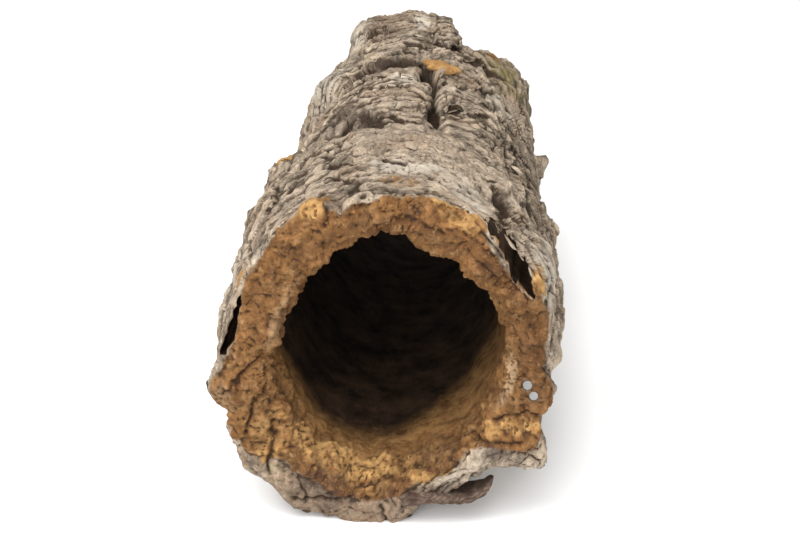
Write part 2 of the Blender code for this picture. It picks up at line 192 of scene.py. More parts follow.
# Ledges across the bark, high on the near side and low on the far side: the rise to the line and the drop
# behind it, how far the step takes to die away, then the line as angle, along
LEDGES = (
    (3.0, 7.0, 26, (
        (-92, 150), (-75, 151), (-60, 141), (-50, 130), (-40, 119), (-30, 112), (-18, 105), (-9, 101),
        (0, 106), (5, 110),
    )),
    (2.0, 2.5, 14, ((2, 107), (8, 112), (16, 109), (26, 103), (36, 99), (46, 92))),
    (2.0, 2.0, 9, ((-46, 103), (-38, 99), (-30, 92), (-20, 97), (-12, 99))),
    (2.5, 3.0, 12, ((-88, 22), (-75, 26), (-60, 40), (-45, 53), (-30, 59), (-20, 64), (-13, 60))),
    (2.0, 3.0, 12, ((-78, 56), (-60, 68), (-45, 77), (-34, 86), (-25, 90))),
    (2.0, 2.0, 10, ((-88, 78), (-74, 96), (-60, 106), (-48, 108))),
    (2.5, 3.0, 12, ((-46, 160), (-36, 170), (-24, 178), (-12, 187), (0, 189), (5, 182))),
    (2.0, 2.5, 9, ((-30, 196), (-15, 199), (-4, 206), (3, 203))),
    (3.5, 4.5, 12, ((-36, 214), (-26, 223), (-10, 228), (3, 224))),
    (-3.0, -4.0, 12, ((-34, 238), (-22, 249), (-8, 252), (3, 247))),
    (2.5, 3.5, 14, ((10, 133), (14, 152), (21, 167), (30, 165), (40, 150), (50, 130), (58, 112))),
    (3.5, 4.0, 14, ((10, 180), (16, 204), (24, 221), (34, 216), (45, 197), (55, 172), (64, 148))),
    (2.0, 3.0, 10, ((18, 190), (26, 202), (34, 194), (44, 170), (52, 150))),
    (3.0, 3.5, 14, ((16, 250), (28, 262), (40, 252), (52, 232), (64, 205))),
    (2.0, 3.0, 11, ((-24, 262), (-12, 272), (0, 276), (8, 270))),
    (2.0, 3.0, 12, ((-30, 300), (-18, 312), (-4, 318), (8, 312), (18, 302))),
    (2.5, 3.5, 14, ((-92, 215), (-76, 238), (-60, 248), (-46, 236))),
    (2.0, 3.0, 12, ((-86, 285), (-70, 300), (-54, 306), (-40, 296))),
    (2.5, 3.5, 14, ((66, 96), (78, 110), (92, 118), (106, 108))),
    (2.5, 3.5, 14, ((70, 222), (84, 260), (98, 262), (112, 246))),
)
LEDGE_EDGE = 0.9  # half of what the drop takes along the tube
LEDGE_FADE = (6, 4)  # degrees past its ends and degrees inside them over which a ledge fades
LIP_REACH = 3.0  # how far before its line a ledge begins to lean over it
LIP_LEAN = 0.45  # how far a lip leans over, as a share of the ledge's height
LEAN_START = (4, 16)  # how far from the mouth the lips begin to lean
# The seam under each ledge: its width, its carved depth and the strength of the painted shade in it
SEAM_WIDTH = 1.3
SEAM_DEPTH = 1.5
SEAM_SHADE = 0.7
FULL_SEAM = 5  # the height of a step from which its seam is at its deepest
LUMP_STEEPNESS = 1.2

# Grooves along the bark: depth and half width, then the line as along, angle
GROOVES = (
    (6.0, 4.5, ((118, 13), (140, 12.5), (165, 12), (190, 11.5), (215, 10), (236, 7))),
    (3.5, 3.5, ((120, 60), (160, 56), (210, 52), (260, 45), (300, 38))),
    (3.0, 3.5, ((104, 50), (140, 47), (170, 49))),
    (3.5, 3.5, ((120, -48), (150, -42), (190, -38), (230, -34), (262, -30))),
    (3.5, 4.0, ((60, -96), (120, -92), (190, -98), (250, -92))),
    (4.0, 4.0, ((30, 142), (90, 128), (160, 134), (230, 124), (320, 132))),
    (4.0, 4.0, ((40, -142), (110, -150), (180, -146), (260, -156), (330, -150))),
    (3.5, 4.0, ((110, 98), (170, 104), (240, 96), (330, 104))),
    (9.0, 7.5, ((16, 103.5), (36, 113), (60, 124))),
)
GROOVE_FADE = (12, 8)  # the same for a groove, in millimetres

# Dark cracks in the bark, set one by one: depth and half width, then the line as angle, along
CRACKS = (
    # On the left lobe, from the trough down to the collar
    (2.5, 1.5, ((-28, 272), (-17, 251), (-11, 251), (-4, 251), (2, 246))),
    (2.5, 2.2, ((-26, 246), (-17, 241), (-7, 240), (2, 238))),
    (7.0, 2.4, ((3, 250), (5, 246), (7, 238), (9, 226), (11, 204))),
    (5.0, 2.0, ((11, 204), (12, 180), (12, 160), (13, 134))),
    (2.0, 1.3, ((-12, 196), (-11, 185), (-6, 183), (-1, 179), (4, 177), (10, 170))),
    (2.2, 1.5, ((-21, 177), (-17, 175), (-10, 175))),
    (1.5, 1.1, ((-20, 170), (-15, 168), (-12, 169))),
    (3.0, 2.2, ((-24, 222), (-28, 217), (-33, 216), (-39, 214), (-43, 205))),
    (4.0, 2.5, ((-22, 152), (-26, 147), (-30, 140))),
    (4.0, 3.0, ((-19, 156), (-15, 139), (-9, 133))),
    (2.0, 1.4, ((-12, 140), (-6, 141), (-2, 136), (2, 133))),
    # Partly a crack and partly painted shadow: the dark line just past the collar's edge
    (3.5, 2.5, ((-36, 145), (-27, 137), (-18, 131), (-8, 129))),
    # On the right lobe
    (2.5, 1.8, ((11, 204), (13, 212), (17, 219), (21, 223))),
    (2.0, 1.3, ((17, 205), (22, 213), (32, 231), (38, 241))),
    (4.0, 2.6, ((37, 240), (42, 245), (48, 256), (54, 253), (59, 246))),
    (5.0, 3.0, ((21, 194), (25, 197), (31, 199))),
    (2.5, 1.4, ((31, 199), (36, 206), (40, 203), (43, 196))),
    (2.5, 1.5, ((13, 141), (15, 157), (18, 168), (22, 177))),
    (1.5, 1.1, ((14, 137), (18, 152), (22, 161), (28, 174), (35, 180))),
    (3.0, 1.8, ((41, 170), (44, 163), (48, 150))),
    (3.5, 2.2, ((49, 186), (51, 174), (53, 162), (54, 148))),
    (2.0, 1.5, ((31, 151), (36, 155), (43, 161))),
    # Towards the far end
    (3.0, 1.8, ((-11, 262), (-8, 271), (-5, 270), (-2, 264))),
    (1.8, 1.4, ((-6, 294), (-3, 293), (1, 294))),
    (2.5, 1.8, ((-25, 326), (-23, 328), (-21, 330))),
    (1.8, 1.5, ((1, 315), (4, 324), (8, 330), (13, 329))),
    (3.0, 3.0, ((11, 300), (16, 301), (20, 306))),
    (1.8, 1.4, ((10, 257), (12, 253), (15, 258))),
    (2.5, 1.8, ((24, 287), (29, 290), (34, 298), (42, 292), (48, 286))),
    # On the left of the collar
    (3.5, 1.6, ((-49, 107), (-46, 80), (-45, 58), (-47, 40))),
    (8.0, 3.6, ((-36, 77), (-34, 77))),
    (2.5, 1.6, ((-32, 79), (-27, 78), (-19, 64))),
    (2.2, 1.2, ((-39, 49), (-36, 53), (-32, 56), (-28, 59), (-21, 55), (-17, 52), (-13, 50))),
    (1.8, 1.0, ((-24, 44), (-20, 37), (-15, 29), (-11, 29))),
    (1.8, 1.2, ((-3, 49), (-1, 48), (3, 49))),
    (2.2, 1.6, ((-25, 88), (-21, 87), (-18, 84))),
    (2.0, 1.5, ((-14, 12), (-12, 17), (-11, 23))),
    (1.5, 1.2, ((-4, 9), (1, 6))),
    # On the right of the collar
    (2.0, 1.2, ((23, 92), (26, 98), (30, 106), (35, 112))),
    (1.5, 1.8, ((16, 70), (18, 72))),
    (8.0, 4.0, ((39, 59), (41, 57))),
    (6.0, 2.6, ((44, 55), (45, 53))),
    (5.0, 2.4, ((48, 51), (50, 47))),
    (2.0, 1.3, ((26, 64), (31, 63), (36, 69))),
    (2.5, 2.0, ((52, 142), (57, 130), (60, 118))),
    (2.0, 1.5, ((55, 112), (57, 99), (58, 90))),
    # On the sides and the underside
    (2.0, 1.2, ((-100, 60), (-108, 66), (-118, 64))),
    (2.0, 1.2, ((-86, 120), (-96, 128), (-110, 124))),
    (2.2, 1.3, ((92, 70), (104, 78), (118, 74))),
    (2.0, 1.2, ((84, 190), (98, 196), (112, 190))),
    (2.0, 1.2, ((-84, 200), (-98, 206), (-114, 198))),
    (2.0, 1.3, ((-100, 280), (-114, 288), (-130, 282))),
    (2.0, 1.3, ((100, 300), (116, 306), (130, 298))),
    (2.0, 1.2, ((150, 100), (170, 108), (-172, 102))),
    (2.0, 1.2, ((158, 240), (176, 248), (-166, 244))),
)

CRACK_WIDENING = 0.25  # in half widths of the crack

# Where the collar's bark is crumbly rather than layered: angle, along, half sizes
CALM_AT = (14, 72, 32, 42)

# Unevenness: height, then the size of its bumps round the tube and along it, and a seed
ROUGH_BARK = ((2.0, 45, 55, 1), (1.5, 19, 16, 2), (0.8, 10, 8, 4))
ROUGH_BORE = ((1.6, 22, 60, 21), (0.9, 11, 18, 22))
RAGGED_CRACKS = ((0.5, 5, 5, 57), (0.3, 2, 2, 58))
RAGGED_PATCHES = ((0.5, 5, 5, 61), (0.4, 2, 2, 62))
RAGGED_CORK = ((0.05, 7, 7, 65), (0.04, 3, 3, 66))

# Unevenness of a line or of the rim: height, the size of its bumps, and a seed
ROUGH_RIM = (1.2, 12, 41)
RAGGED_EDGE = (3.5, 11, 3)
RAGGED_MOUTH = (1.5, 18, 31)
RAGGED_TEARS = ((1.8, 7, 55), (0.8, 2.5, 56))
ROUGH_SHARE_AT_MOUTH = 0.35

# Mean radii, at which noise is read and angles are turned into lengths
BARK_RADIUS = 72
BORE_RADIUS = 50
RIM_RADIUS = 64

# Growth layers all over the bark, as steps along the tube
LAYER_LENGTH = 19
LAYER_HEIGHT = 1.8
LAYER_DROP_AT = 0.84  # where in each layer its step starts
LAYER_MEAN = 0.42  # taken off, so that the layers add nothing to the radius
LAYER_BEND = (1.1, 34, 60, 11)
LAYER_PATCHES = (28, 34, 12)
LAYERS_START = (24, 60)

# The arcs in the bark. On the collar: how far they turn back for each degree off the top, from which angle on,
# and for how many degrees. On each lobe: how far for each degree squared off its middle, the middle, and the
# limits of that in degrees.
COLLAR_ARC = (0.45, 12, 90)
LOBE_ARCS = ((0.016, -5, -60, 13), (0.040, 27, -19, 34))
BETWEEN_LOBES = 8

# The fine relief of the bark. Plates and layers rise along the tube by the slope and are cut into steps: the
# height of a step, the share of it that its riser takes, and how far its tread tilts. Noise is height, then
# the size of its bumps round the tube and along its arcs, and a seed.
ARC_SLOPE = 0.10
FOOT_AT = 0.7  # in risers, back from the top of each
FOOT_WIDTH = 0.8
PLATE_STEPS = (1.8, 0.13, 0.25)
PLATE_FORM = ((2.6, 34, 19, 72), (1.3, 12, 7, 73), (0.3, 5, 2.5, 74))
THIN_STEPS = (0.9, 0.22, 0.2)
THIN_FORM = ((1.5, 24, 9, 75), (0.3, 6, 2.5, 76))
CRUMBLY_BARK = ((0.8, 3.4, 2.6, 63), (0.5, 1.8, 1.6, 62))
BARK_GRAIN = ((0.25, 2.2, 1.7, 88), (0.4, 2.8, 15, 89))
BARK_LUMPS = ((0.7, 11, 7, 66),)
FLAKE_HEIGHT = 1.6
FLAKE_EDGE_DEPTH = 0.8
RIDGE_HEIGHT = 0.9
ALONG_CRACK_DEPTH = 1.3
ACROSS_CRACK_DEPTH = 1.9
BARK_PIT_DEPTH = 2.0

# The fine relief of torn cork and of the bore, as above
CORK_LUMPS = ((3.4, 15, 15, 94), (2.6, 7, 7, 82))
CRUMBLY_CORK = ((0.9, 2.6, 2.6, 84), (0.3, 1.4, 1.4, 68))
FOLD_HEIGHT = 2.0
CORK_PIT_DEPTH = 1.1
RING_HEIGHT = 0.9
SPLIT_DEPTH = 1.2
BORE_RIBS = ((0.5, 5, 30, 91), (0.5, 4, 6, 92))
TEAR_DARKNESS = 0.22

# Slabs that follow the round of the mouth. Each row is an angle, the radius and half the thickness of the
# slab there, and where it starts and stops along the tube.
CREVICE = (
    (30, 77.5, 1.0, -10, 9), (38, 74.0, 1.9, -10, 19), (46, 71.5, 3.4, -10, 30), (54, 69.5, 4.8, -10, 32),
    (60, 69.0, 3.2, -10, 24), (64, 69.0, 0.9, -10, 10),
)
FLAKE_GAP = (
    (-62, 70.5, 0.8, -10, 6), (-70, 69.5, 1.4, -10, 12), (-77, 69.0, 2.2, -10, 18), (-84, 70.5, 3.0, -10, 22),
    (-90, 73.0, 1.6, -10, 14),
)
CURL_GAP = (
    (172, 77.0, 0.8, -8, 12), (163, 76.0, 1.6, -8, 20), (155, 74.5, 2.6, -8, 24), (148, 74.5, 2.8, -8, 24),
    (141, 73.5, 2.0, -8, 20),
)
CURLED_FLAKE = (
    (178, 71.0, 3.0, -2, 28), (172, 71.0, 3.2, -2.5, 27), (165, 71.8, 3.0, -2, 25), (159, 75.0, 2.7, -1, 22),
    (153, 78.7, 2.3, 0, 19), (147.5, 79.0, 1.8, 1, 15), (142.5, 76.5, 1.0, 2.5, 11),
)
SLAB_TAPER = 0.5  # how thick the far side is, as a share of the near side
SLAB_EASE = 0.35  # how far the changes are rounded off at each row
SLAB_SQUARENESS = 0.5
SLAB_BUMP = 5  # the size of the bumps
CUT_STEPS = 48
CUT_SPOKES = 28
HOLE_STEPS = 24
HOLE_SPOKES = 14

# Two insect holes through the ear of cork at the right of the mouth: angle, radius, width
INSECT_HOLES = ((100.3, 61.3, 4.2), (104.4, 65.3, 3.9))
HOLE_SLOPE = (0.03, 0.89, -0.45)
HOLE_LENGTH = 76
HOLE_SPAN = (-0.25, 0.75)  # the ends of the cut, in hole lengths from the rim
HOLE_FLARE = 0.12  # how much wider it is at its mouth, as a share
HOLE_FLARE_DEPTH = 5

# Torn lines in the rim: depth and half width, then the line as angle, radius
RIM_TEARS = (
    (3.0, 1.2, ((-91, 55), (-94, 60), (-97, 65), (-101, 70), (-104, 75))),
    (3.5, 1.6, ((-106, 57), (-111, 63), (-117, 69), (-120, 75))),
    (3.0, 1.5, ((-124, 60), (-129, 67), (-134, 74), (-137, 80))),
    (3.0, 1.3, ((-23, 68), (-21, 73), (-18, 79))),
    (1.8, 1.3, ((136, 56), (129.5, 62), (124, 70))),
    (2.2, 1.1, ((28, 68), (36, 67), (44, 66), (52, 64), (58, 65))),
    (2.0, 1.0, ((33, 72), (41, 70), (49, 68))),
    (1.8, 1.0, ((38, 61), (46, 61), (54, 60))),
    (2.0, 1.2, ((-8, 62), (8, 66), (20, 64))),
    (2.0, 1.0, ((150, 60), (158, 62), (166, 66), (171, 72))),
    # Raised strips: the lip of the bore on the left and on the right, and the torn flat strip below the ear
    (-2.2, 1.8, ((-42, 57), (-55, 55), (-70, 54), (-84, 53), (-92, 54))),
    (-1.8, 1.6, ((82, 53), (95, 54), (108, 55))),
    (-1.3, 2.4, ((129, 55), (120.5, 62), (115.8, 71), (114.5, 75))),
    (2.5, 1.0, ((122, 55), (117, 60), (112.5, 67), (110, 74))),
    (-2.0, 3.0, ((-60, 72), (-68, 70), (-74, 66))),
    # Creases where the grey bark comes round the rim at the bottom
    (2.0, 1.2, ((-162, 76), (-168, 67), (177, 61), (169, 57))),
    (1.5, 1.2, ((169, 57), (160, 61), (151, 59))),
    (2.5, 1.4, ((-150, 84), (-156, 78), (-163, 76))),
    (2.0, 1.1, ((-176, 73), (-178, 79), (-179, 84))),
    (2.0, 1.2, ((-145, 72), (-150, 77), (-153, 83))),
    (2.0, 1.2, ((150, 68), (157, 71), (165, 75), (170, 79))),
    (2.0, 1.2, ((146, 70), (152, 75), (158, 79))),
    (1.8, 1.2, ((176, 77), (172, 72), (165, 69), (158, 68))),
)

# Coloured patches: kind, angle, radius on the rim or along on the bark, half sizes and strength
RIM_PATCHES = (
    ("fresh", -25, 77, 5, 5, 1.0),
    ("fresh", 127, 57, 4, 4, 0.9),
    ("fresh", 121, 62, 3, 5, 1.0),
    ("fresh", 116, 70, 2.5, 6, 1.0),
    ("fresh", 17, 78, 6, 4, 0.8),
    ("fresh", 60, 75, 4, 4, 1.0),
    ("fresh", -120, 66, 12, 9, 0.55),
    ("fresh", -131, 70, 4, 8, 0.8),
    ("fresh", -166, 61, 18, 7, 1.0),
    ("fresh", 165, 58, 14, 6, 0.85),
    ("fresh", -142, 58, 10, 6, 0.75),
    ("fresh", -62, 74, 7, 2.5, 0.6),
    ("dark", -156, 71, 13, 8, 1.0),
    ("dark", 176, 76, 20, 6, 0.35),
    ("dark", -150, 84, 16, 7, 0.4),
    ("dark", 150, 70, 16, 3, 0.45),
    ("dark", 178, 66, 9, 4, 0.5),
    ("dark", 157, 58, 10, 3.5, 0.9),
    ("dark", 133, 64, 5, 5, 0.8),
    ("dark", 44, 64, 9, 9, 0.6),
    ("dark", 8, 68, 3, 5, 0.7),
    ("fresh", 26, 73, 9, 4, 0.7),
    # This and the next: darker along the inner part of the rim, partly the cork's own tone and partly painted
    # shade near the bore
    ("dark", 0, 63, 34, 5, 0.35),
    ("dark", 30, 62, 16, 4, 0.35),
    ("dark", -112, 68, 12, 9, 0.35),
    # Partly the cork's own darker tone and partly painted shade near the bore
    ("dark", -35, 60, 14, 3, 0.3),
    ("dark", -18, 76, 4, 4, 0.9),
    ("dark", -112, 60, 5, 5, 0.5),
    ("dark", -128, 51, 7, 4, 0.6),
    ("dark", 80, 63, 16, 9, 0.45),
    ("dark", 58, 66, 8, 6, 0.45),
    ("dark", 103, 67, 7, 6, 0.4),
    ("pale", -105, 76, 6, 5, 0.4),
    # Partly the cork's own darker tone and partly painted shade near the bore
    ("dark", -62, 62, 16, 5, 0.3),
    ("pale", 150, 66, 12, 4, 0.4),
    ("pale", 100, 54, 16, 2.5, 0.8),
    ("pale", -68, 54, 22, 2.0, 0.35),
    ("pale", 52, 75, 10, 2.5, 0.8),
    ("olive", -139, 78, 4, 6, 0.6),
    ("brown", -163, 79, 36, 14, 0.8),
    ("dark", -155, 78, 11, 6, 0.7),
)
BARK_PATCHES = (
    ("fresh", -50, 134, 4, 7, 1.0),
    ("fresh", -25, 10, 6, 9, 0.8),
    ("fresh", 60, 8, 4, 10, 0.9),
    ("fresh", -72, 166, 5, 9, 0.5),
    # The next four are painted shade: in the hole beside the orange chip, in the hollow behind the collar's
    # edge, in a fold of the left lobe and in the trough
    ("dark", 6, 240, 3, 9, 1.2),
    ("dark", -14, 138, 8, 10, 0.95),
    ("dark", -27, 156, 9, 16, 0.85),
    ("dark", -12, 244, 16, 8, 0.6),
    ("dark", 26, 197, 5, 5, 0.9),
    ("dark", 52, 200, 5, 34, 0.6),
    ("dark", 66, 160, 10, 60, 0.35),
    ("dark", 40, 58, 5, 7, 1.1),
    ("dark", 6, 25, 5, 4, 0.3),
    ("dark", -17, 10, 5, 9, 0.6),
    ("dark", -19, 8, 4, 9, 0.8),
    ("dark", -18, 345, 10, 34, 0.35),
    ("pale", -46, 270, 11, 26, 0.7),
    ("pale", -32, 352, 6, 40, 0.8),
    ("pale", 0, 352, 3.5, 15, 1.0),
    ("pale", -4, 208, 6, 12, 0.6),
    ("pale", 45, 232, 10, 14, 0.5),
    ("pale", 5, 44, 12, 8, 0.8),
    ("pale", 22, 38, 9, 10, 0.5),
    ("pale", 42, 75, 4, 5, 0.9),
    ("pale", 27, 24, 8, 6, 0.6),
    ("pale", -22, 234, 5, 10, 0.8),
    ("pale", 1, 342, 3.5, 14, 1.0),
    ("pale", 66, 30, 10, 24, 0.7),
    ("fresh", 4, 21, 9, 5, 0.45),
    ("fresh", -38, 143, 8, 3, 0.5),
    ("pale", -75, 50, 14, 40, 0.5),
    ("olive", -23, 281, 4, 9, 1.0),
    ("olive", 48, 300, 13, 26, 1.2),
    ("fresh", 40, 318, 6, 8, 0.5),
    ("olive", 46, 262, 5, 30, 0.3),
    ("brown", 178, 8, 54, 26, 0.6),
    ("brown", -84, 30, 9, 40, 0.4),
    ("brown", -20, 345, 12, 40, 0.4),
)
THIN_PATCH = 9  # a patch with a smaller half size than this has less ragged edges
KINDS = ("fresh", "dark", "pale", "olive", "brown")
# Of these masks, hollow gives painted shade and highlight, inside gives the bore's painted light and shade,
# and seam and dark are partly painted shade
MASKS = (*KINDS, "flow", "cork", "seam", "inside", "hollow")

# Pieces of fresh cork that stand out: a name, the angle, along and radius, which way each points and faces,
# its half sizes and how fresh it looks
FRESH_PIECES = (
    ("orange_chip", (12.3, 236.0, 70.3), (1.0, -0.05, -0.22), (0.15, -0.75, 0.7), (9.5, 3.2, 2.8), 0.8),
    ("orange_lump", (-52.0, 133.0, 73.8), (0.7, 0.2, 0.5), (-0.5, -0.5, 0.7), (4.8, 3.8, 2.8), 0.7),
    ("crevice_end", (62.0, 5.0, 72.5), (0.3, 0.2, -1.0), (0.2, -1.0, 0.2), (6.0, 2.6, 3.0), 0.9),
)

FRESH_BUMP = 2.6  # the size of the bumps on them

# The loose chips, each value from the least to the most: half sizes across, ahead and in thickness, where
# they lie round the tube, and how far they are tilted, in degrees
CHIP_SIZES = ((2, 5), (1.3, 3.2), (0.35, 0.7))
CHIP_ANGLES = (-150, 150)
CHIP_TILTS = (2, 14)
CHIP_LIFT = 0.9
CHIP_SEED = 5

# The crumbs: the half size of each, and its length and thickness as shares of that
CRUMB_SIZES = (0.35, 1.0)
CRUMB_LENGTHS = (0.6, 1)
CRUMB_THICKNESSES = (0.4, 0.8)
CRUMB_DEPTH = 30  # how far from the mouth they reach
CRUMB_SEED = 6

# The curled flake: how fine it is, the layers in its front, and where it thins out, in steps from each end
FLAKE_STEPS = 160
FLAKE_SPOKES = 64
FLAKE_LAYER = 1.5
FLAKE_WAVES = (1.3, 8, 100)
FLAKE_GROOVE = 1.3
FLAKE_THINS = 14

# Tones of the bark
WARM_BARK = (0.34, 0.235, 0.15)
DARK_ARC = (0.075, 0.050, 0.035)
PALE_ARC = (0.66, 0.585, 0.48)
BROWN_BARK = (0.27, 0.175, 0.108)
DARK_STRIPE = (0.10, 0.070, 0.050)
BARK_SPECK = (0.065, 0.045, 0.033)
BARK_DUST = (0.74, 0.67, 0.57)
PALE_BARK = (0.64, 0.57, 0.47)
OLIVE_BARK = (0.19, 0.155, 0.060)
# Dark brown in the cracks, and painted shade in the seams under the ledges and at the feet of the steps
CRACK_BROWN_AND_SHADE = (0.032, 0.021, 0.014)
# Darker bark in patches, some of them painted shade in hollows
DARK_AND_SHADED_BARK = (0.060, 0.042, 0.033)

# Tones of the torn cork and the bore
WARM_CORK = (0.36, 0.165, 0.055)
CORK_SPECK = (0.085, 0.032, 0.014)
CORK_DUST = (0.46, 0.285, 0.14)
CORK_SHADOW = (0.115, 0.056, 0.027)
RED_CORK = (0.33, 0.105, 0.030)
PALE_CORK = (0.60, 0.44, 0.27)
# Darker cork in patches, partly painted shade along the inner rim and on the walls of the cuts
DARK_AND_SHADED_CORK = (0.070, 0.036, 0.024)
# Painted shade in the creases of the folds, and the dark of the rings, pits, splits and tears
CREASE_SHADE_AND_BROWN = (0.085, 0.034, 0.015)
# Painted shade in the hollows of the relief
HOLLOW_SHADE = (0.050, 0.030, 0.019)
# Painted highlight on the ridges, multiplied into the colour
RIDGE_HIGHLIGHT = (1.35, 1.35, 1.35)
# Painted light in the bore near its ends: a mottle from its shaded to its lit tan
BORE_SHADE = (0.12, 0.054, 0.019)
PAINTED_LIT_BORE_TAN = (0.52, 0.285, 0.105)

# Tones of the curled flake
FLAKE_DARK = (0.035, 0.018, 0.014)
FLAKE_BROWN = (0.092, 0.060, 0.044)
FLAKE_TAN = (0.21, 0.15, 0.11)
FLAKE_SEAM = (0.05, 0.028, 0.022)

# The stage, in metres
FLOOR_HALF = 4
KEY_PLACE = (-0.3, -0.7, 1.55)
KEY_SIZE = 1.5
FILL_PLACE = (-0.15, -1.5, 0.6)
FILL_SIZE = 0.9
LIT_POINT = (0, -0.05, 0.07)
CAMERA_PLACE = (0.0418, -0.8913, 0.423)
SENSOR = 36


def corner_number(i, j, k, seed):
    """A fixed number from 0 to 255 for each corner of a whole-number lattice, by mixing the bits."""
    mixed = (i * 73856093) ^ (j * 19349663) ^ (k * 83492791) ^ (seed * 2654435761)
    mixed = (mixed ^ (mixed >> 13)) * 1274126177
    return ((mixed ^ (mixed >> 16)) >> 4) & 255


def lattice_slopes():
    """The 256 directions of the noise: even steps round, and a rise that jumps about."""
    turn = np.arange(256) * (2 * math.pi / 256)
    rise = (np.arange(256) * 7 % 256) / 127.5 - 1
    flat = np.sqrt(1 - rise * rise)
    return flat * np.cos(turn), flat * np.sin(turn), rise


SLOPES = lattice_slopes()
NOISE_GAIN = 1.6  # brings the noise to about -1 to 1
CELL_SPREAD = 0.8  # the share of its cell in which a scattered point may lie


def lattice_noise(x, y, z, seed):
    """Smooth noise from about -1 to 1: each lattice corner has a direction, and the eight near ones blend."""
    i, j, k = (np.floor(v).astype(np.int64) for v in (x, y, z))
    u, v, w = x - i, y - j, z - k
    fade_u, fade_v, fade_w = (t * t * t * (t * (t * 6 - 15) + 10) for t in (u, v, w))
    total = 0.0
    for a in (0, 1):
        for b in (0, 1):
            for c in (0, 1):
                corner = corner_number(i + a, j + b, k + c, seed)
                slope_x, slope_y, slope_z = (slopes[corner] for slopes in SLOPES)
                slope = (u - a) * slope_x + (v - b) * slope_y + (w - c) * slope_z
                share = (fade_u if a else 1 - fade_u) * (fade_v if b else 1 - fade_v)
                total = total + slope * share * (fade_w if c else 1 - fade_w)
    return total * NOISE_GAIN


def cell_noise(x, y, z, seed):
    """The nearest of scattered points, one to a unit cell: the distance to it, the distance to the second
    nearest less that, and a fixed number from 0 to 1 for it.
    """
    i, j, k = (np.floor(v - 0.5).astype(np.int64) for v in (x, y, z))
    first = np.full(np.shape(x + y + z), 9.0)
    second, number = first.copy(), 0 * first
    for a in (0, 1):
        for b in (0, 1):
            for c in (0, 1):
                corner = corner_number(i + a, j + b, k + c, seed)
                other = corner_number(j + b, k + c, i + a, seed + 1)
                off_x = x - (i + a + 0.5 + (corner / 255 - 0.5) * CELL_SPREAD)
                off_y = y - (j + b + 0.5 + (other / 255 - 0.5) * CELL_SPREAD)
                off_z = z - (k + c + 0.5 + ((corner * 37 + other) % 256 / 255 - 0.5) * CELL_SPREAD)
                far = np.sqrt(off_x * off_x + off_y * off_y + off_z * off_z)
                nearer = far < first
                second = np.where(nearer, first, np.minimum(second, far))
                number = np.where(nearer, (corner * 5 + other * 3) % 256 / 255, number)
                first = np.where(nearer, far, first)
    return first, second - first, number


def smooth(low, high, value):
    """0 below low, 1 above high, with a smooth rise between."""
    t = np.clip((value - low) / (high - low), 0, 1)
    return t * t * (3 - 2 * t)


def fade(values, margin_before, margin_in, value):
    """1 between the first and the last of the values, and fading to 0 a little beyond each."""
    first, last = values[0], values[-1]
    return smooth(first - margin_before, first + margin_in, value) * smooth(
        -last - margin_before, margin_in - last, -value
    )


def turn_between(angle, other):
    """The signed difference of two angles in degrees, from -180 to 180."""
    return np.mod(angle - other + 180, 360) - 180


def spots(at, across, ahead, seed):
    """Noise at three coordinates, whose bumps have one size across the tube and another along it."""
    x, y, z = at
    return lattice_noise(x / across, y / ahead, z / across, seed)


def rough_spots(at, layers):
    """Unevenness in several sizes, as a sum of such noise."""
    return sum(height * spots(at, *size) for height, *size in layers)


def round_noise(angle, along, radius, around, ahead, seed):
    """Noise on the round of the tube, whose bumps have one size round it and another along it."""
    turn = np.radians(angle)
    return spots((radius * np.sin(turn), along, radius * np.cos(turn)), around, ahead, seed)


def rough_relief(angle, along, radius, layers):
    """Unevenness on the round of the tube in several sizes."""
    return sum(height * round_noise(angle, along, radius, *size) for height, *size in layers)


def line_noise(angle, along, form):
    """Unevenness of a line round the tube, from its height, the size of its bumps and its seed."""
    height, size, seed = form
    return height * round_noise(angle, along, BARK_RADIUS, size, size, seed)


def read_outline(radii, angle):
    """Reads a closed outline of equally spaced radii at an angle in degrees, by a Catmull-Rom curve."""
    radii = np.asarray(radii, dtype=float)
    step = np.mod(angle / 360, 1) * len(radii)
    index = np.floor(step).astype(int)
    t = step - index
    a, b, c, d = (radii[(index + offset) % len(radii)] for offset in (-1, 0, 1, 2))
    return b + 0.5 * t * (c - a + t * (2 * a - 5 * b + 4 * c - d + t * (3 * (b - c) + d - a)))


def far_edge(angle):
    """How far from the mouth the tube reaches at each angle."""
    angles, alongs = zip(*FAR_EDGE)
    return np.interp(turn_between(angle, 0), angles, alongs) + line_noise(angle, 0 * angle, RAGGED_EDGE)


def lump_relief(angle, along):
    """The sum of rounded swellings, each a bell curve both ways."""
    total = 0.0
    for at, far, wide, long, height in LUMPS:
        across = turn_between(angle, at) / wide
        ahead = (along - far) / long
        total = total + height * np.exp(-LUMP_STEEPNESS * (across * across + ahead * ahead))
    return total


def ledge_relief(angle, along):
    """Steps across the bark: each rises to its line, drops, and dies away on both sides. The second result is
    how far the high side leans over the low one along the tube, and the third is the seam under each step,
    which is carved and painted with shade: a bell curve just before the line.
    """
    total, lean, seam = 0.0, 0.0, 0.0
    for rise, drop, reach, line in LEDGES:
        angles, alongs = zip(*line)
        side = math.copysign(1, rise)
        past = along - np.interp(angle, angles, alongs)
        inside = fade(angles, *LEDGE_FADE, angle)
        beyond = smooth(-LEDGE_EDGE, LEDGE_EDGE, past)
        total = total + inside * (rise * (1 - beyond) - drop * beyond) * np.exp(-np.abs(past) / reach)
        high_side = smooth(LEDGE_EDGE, -LEDGE_EDGE, past * side)
        lean = lean + inside * LIP_LEAN * (rise + drop) * high_side * np.exp(-np.abs(past) / LIP_REACH)
        foot = (past + LEDGE_EDGE + SEAM_WIDTH / 2) / SEAM_WIDTH
        strength = min(side * (rise + drop) / FULL_SEAM, 1)
        seam = np.maximum(seam, inside * strength * np.exp(-foot * foot))
    return total, lean, seam


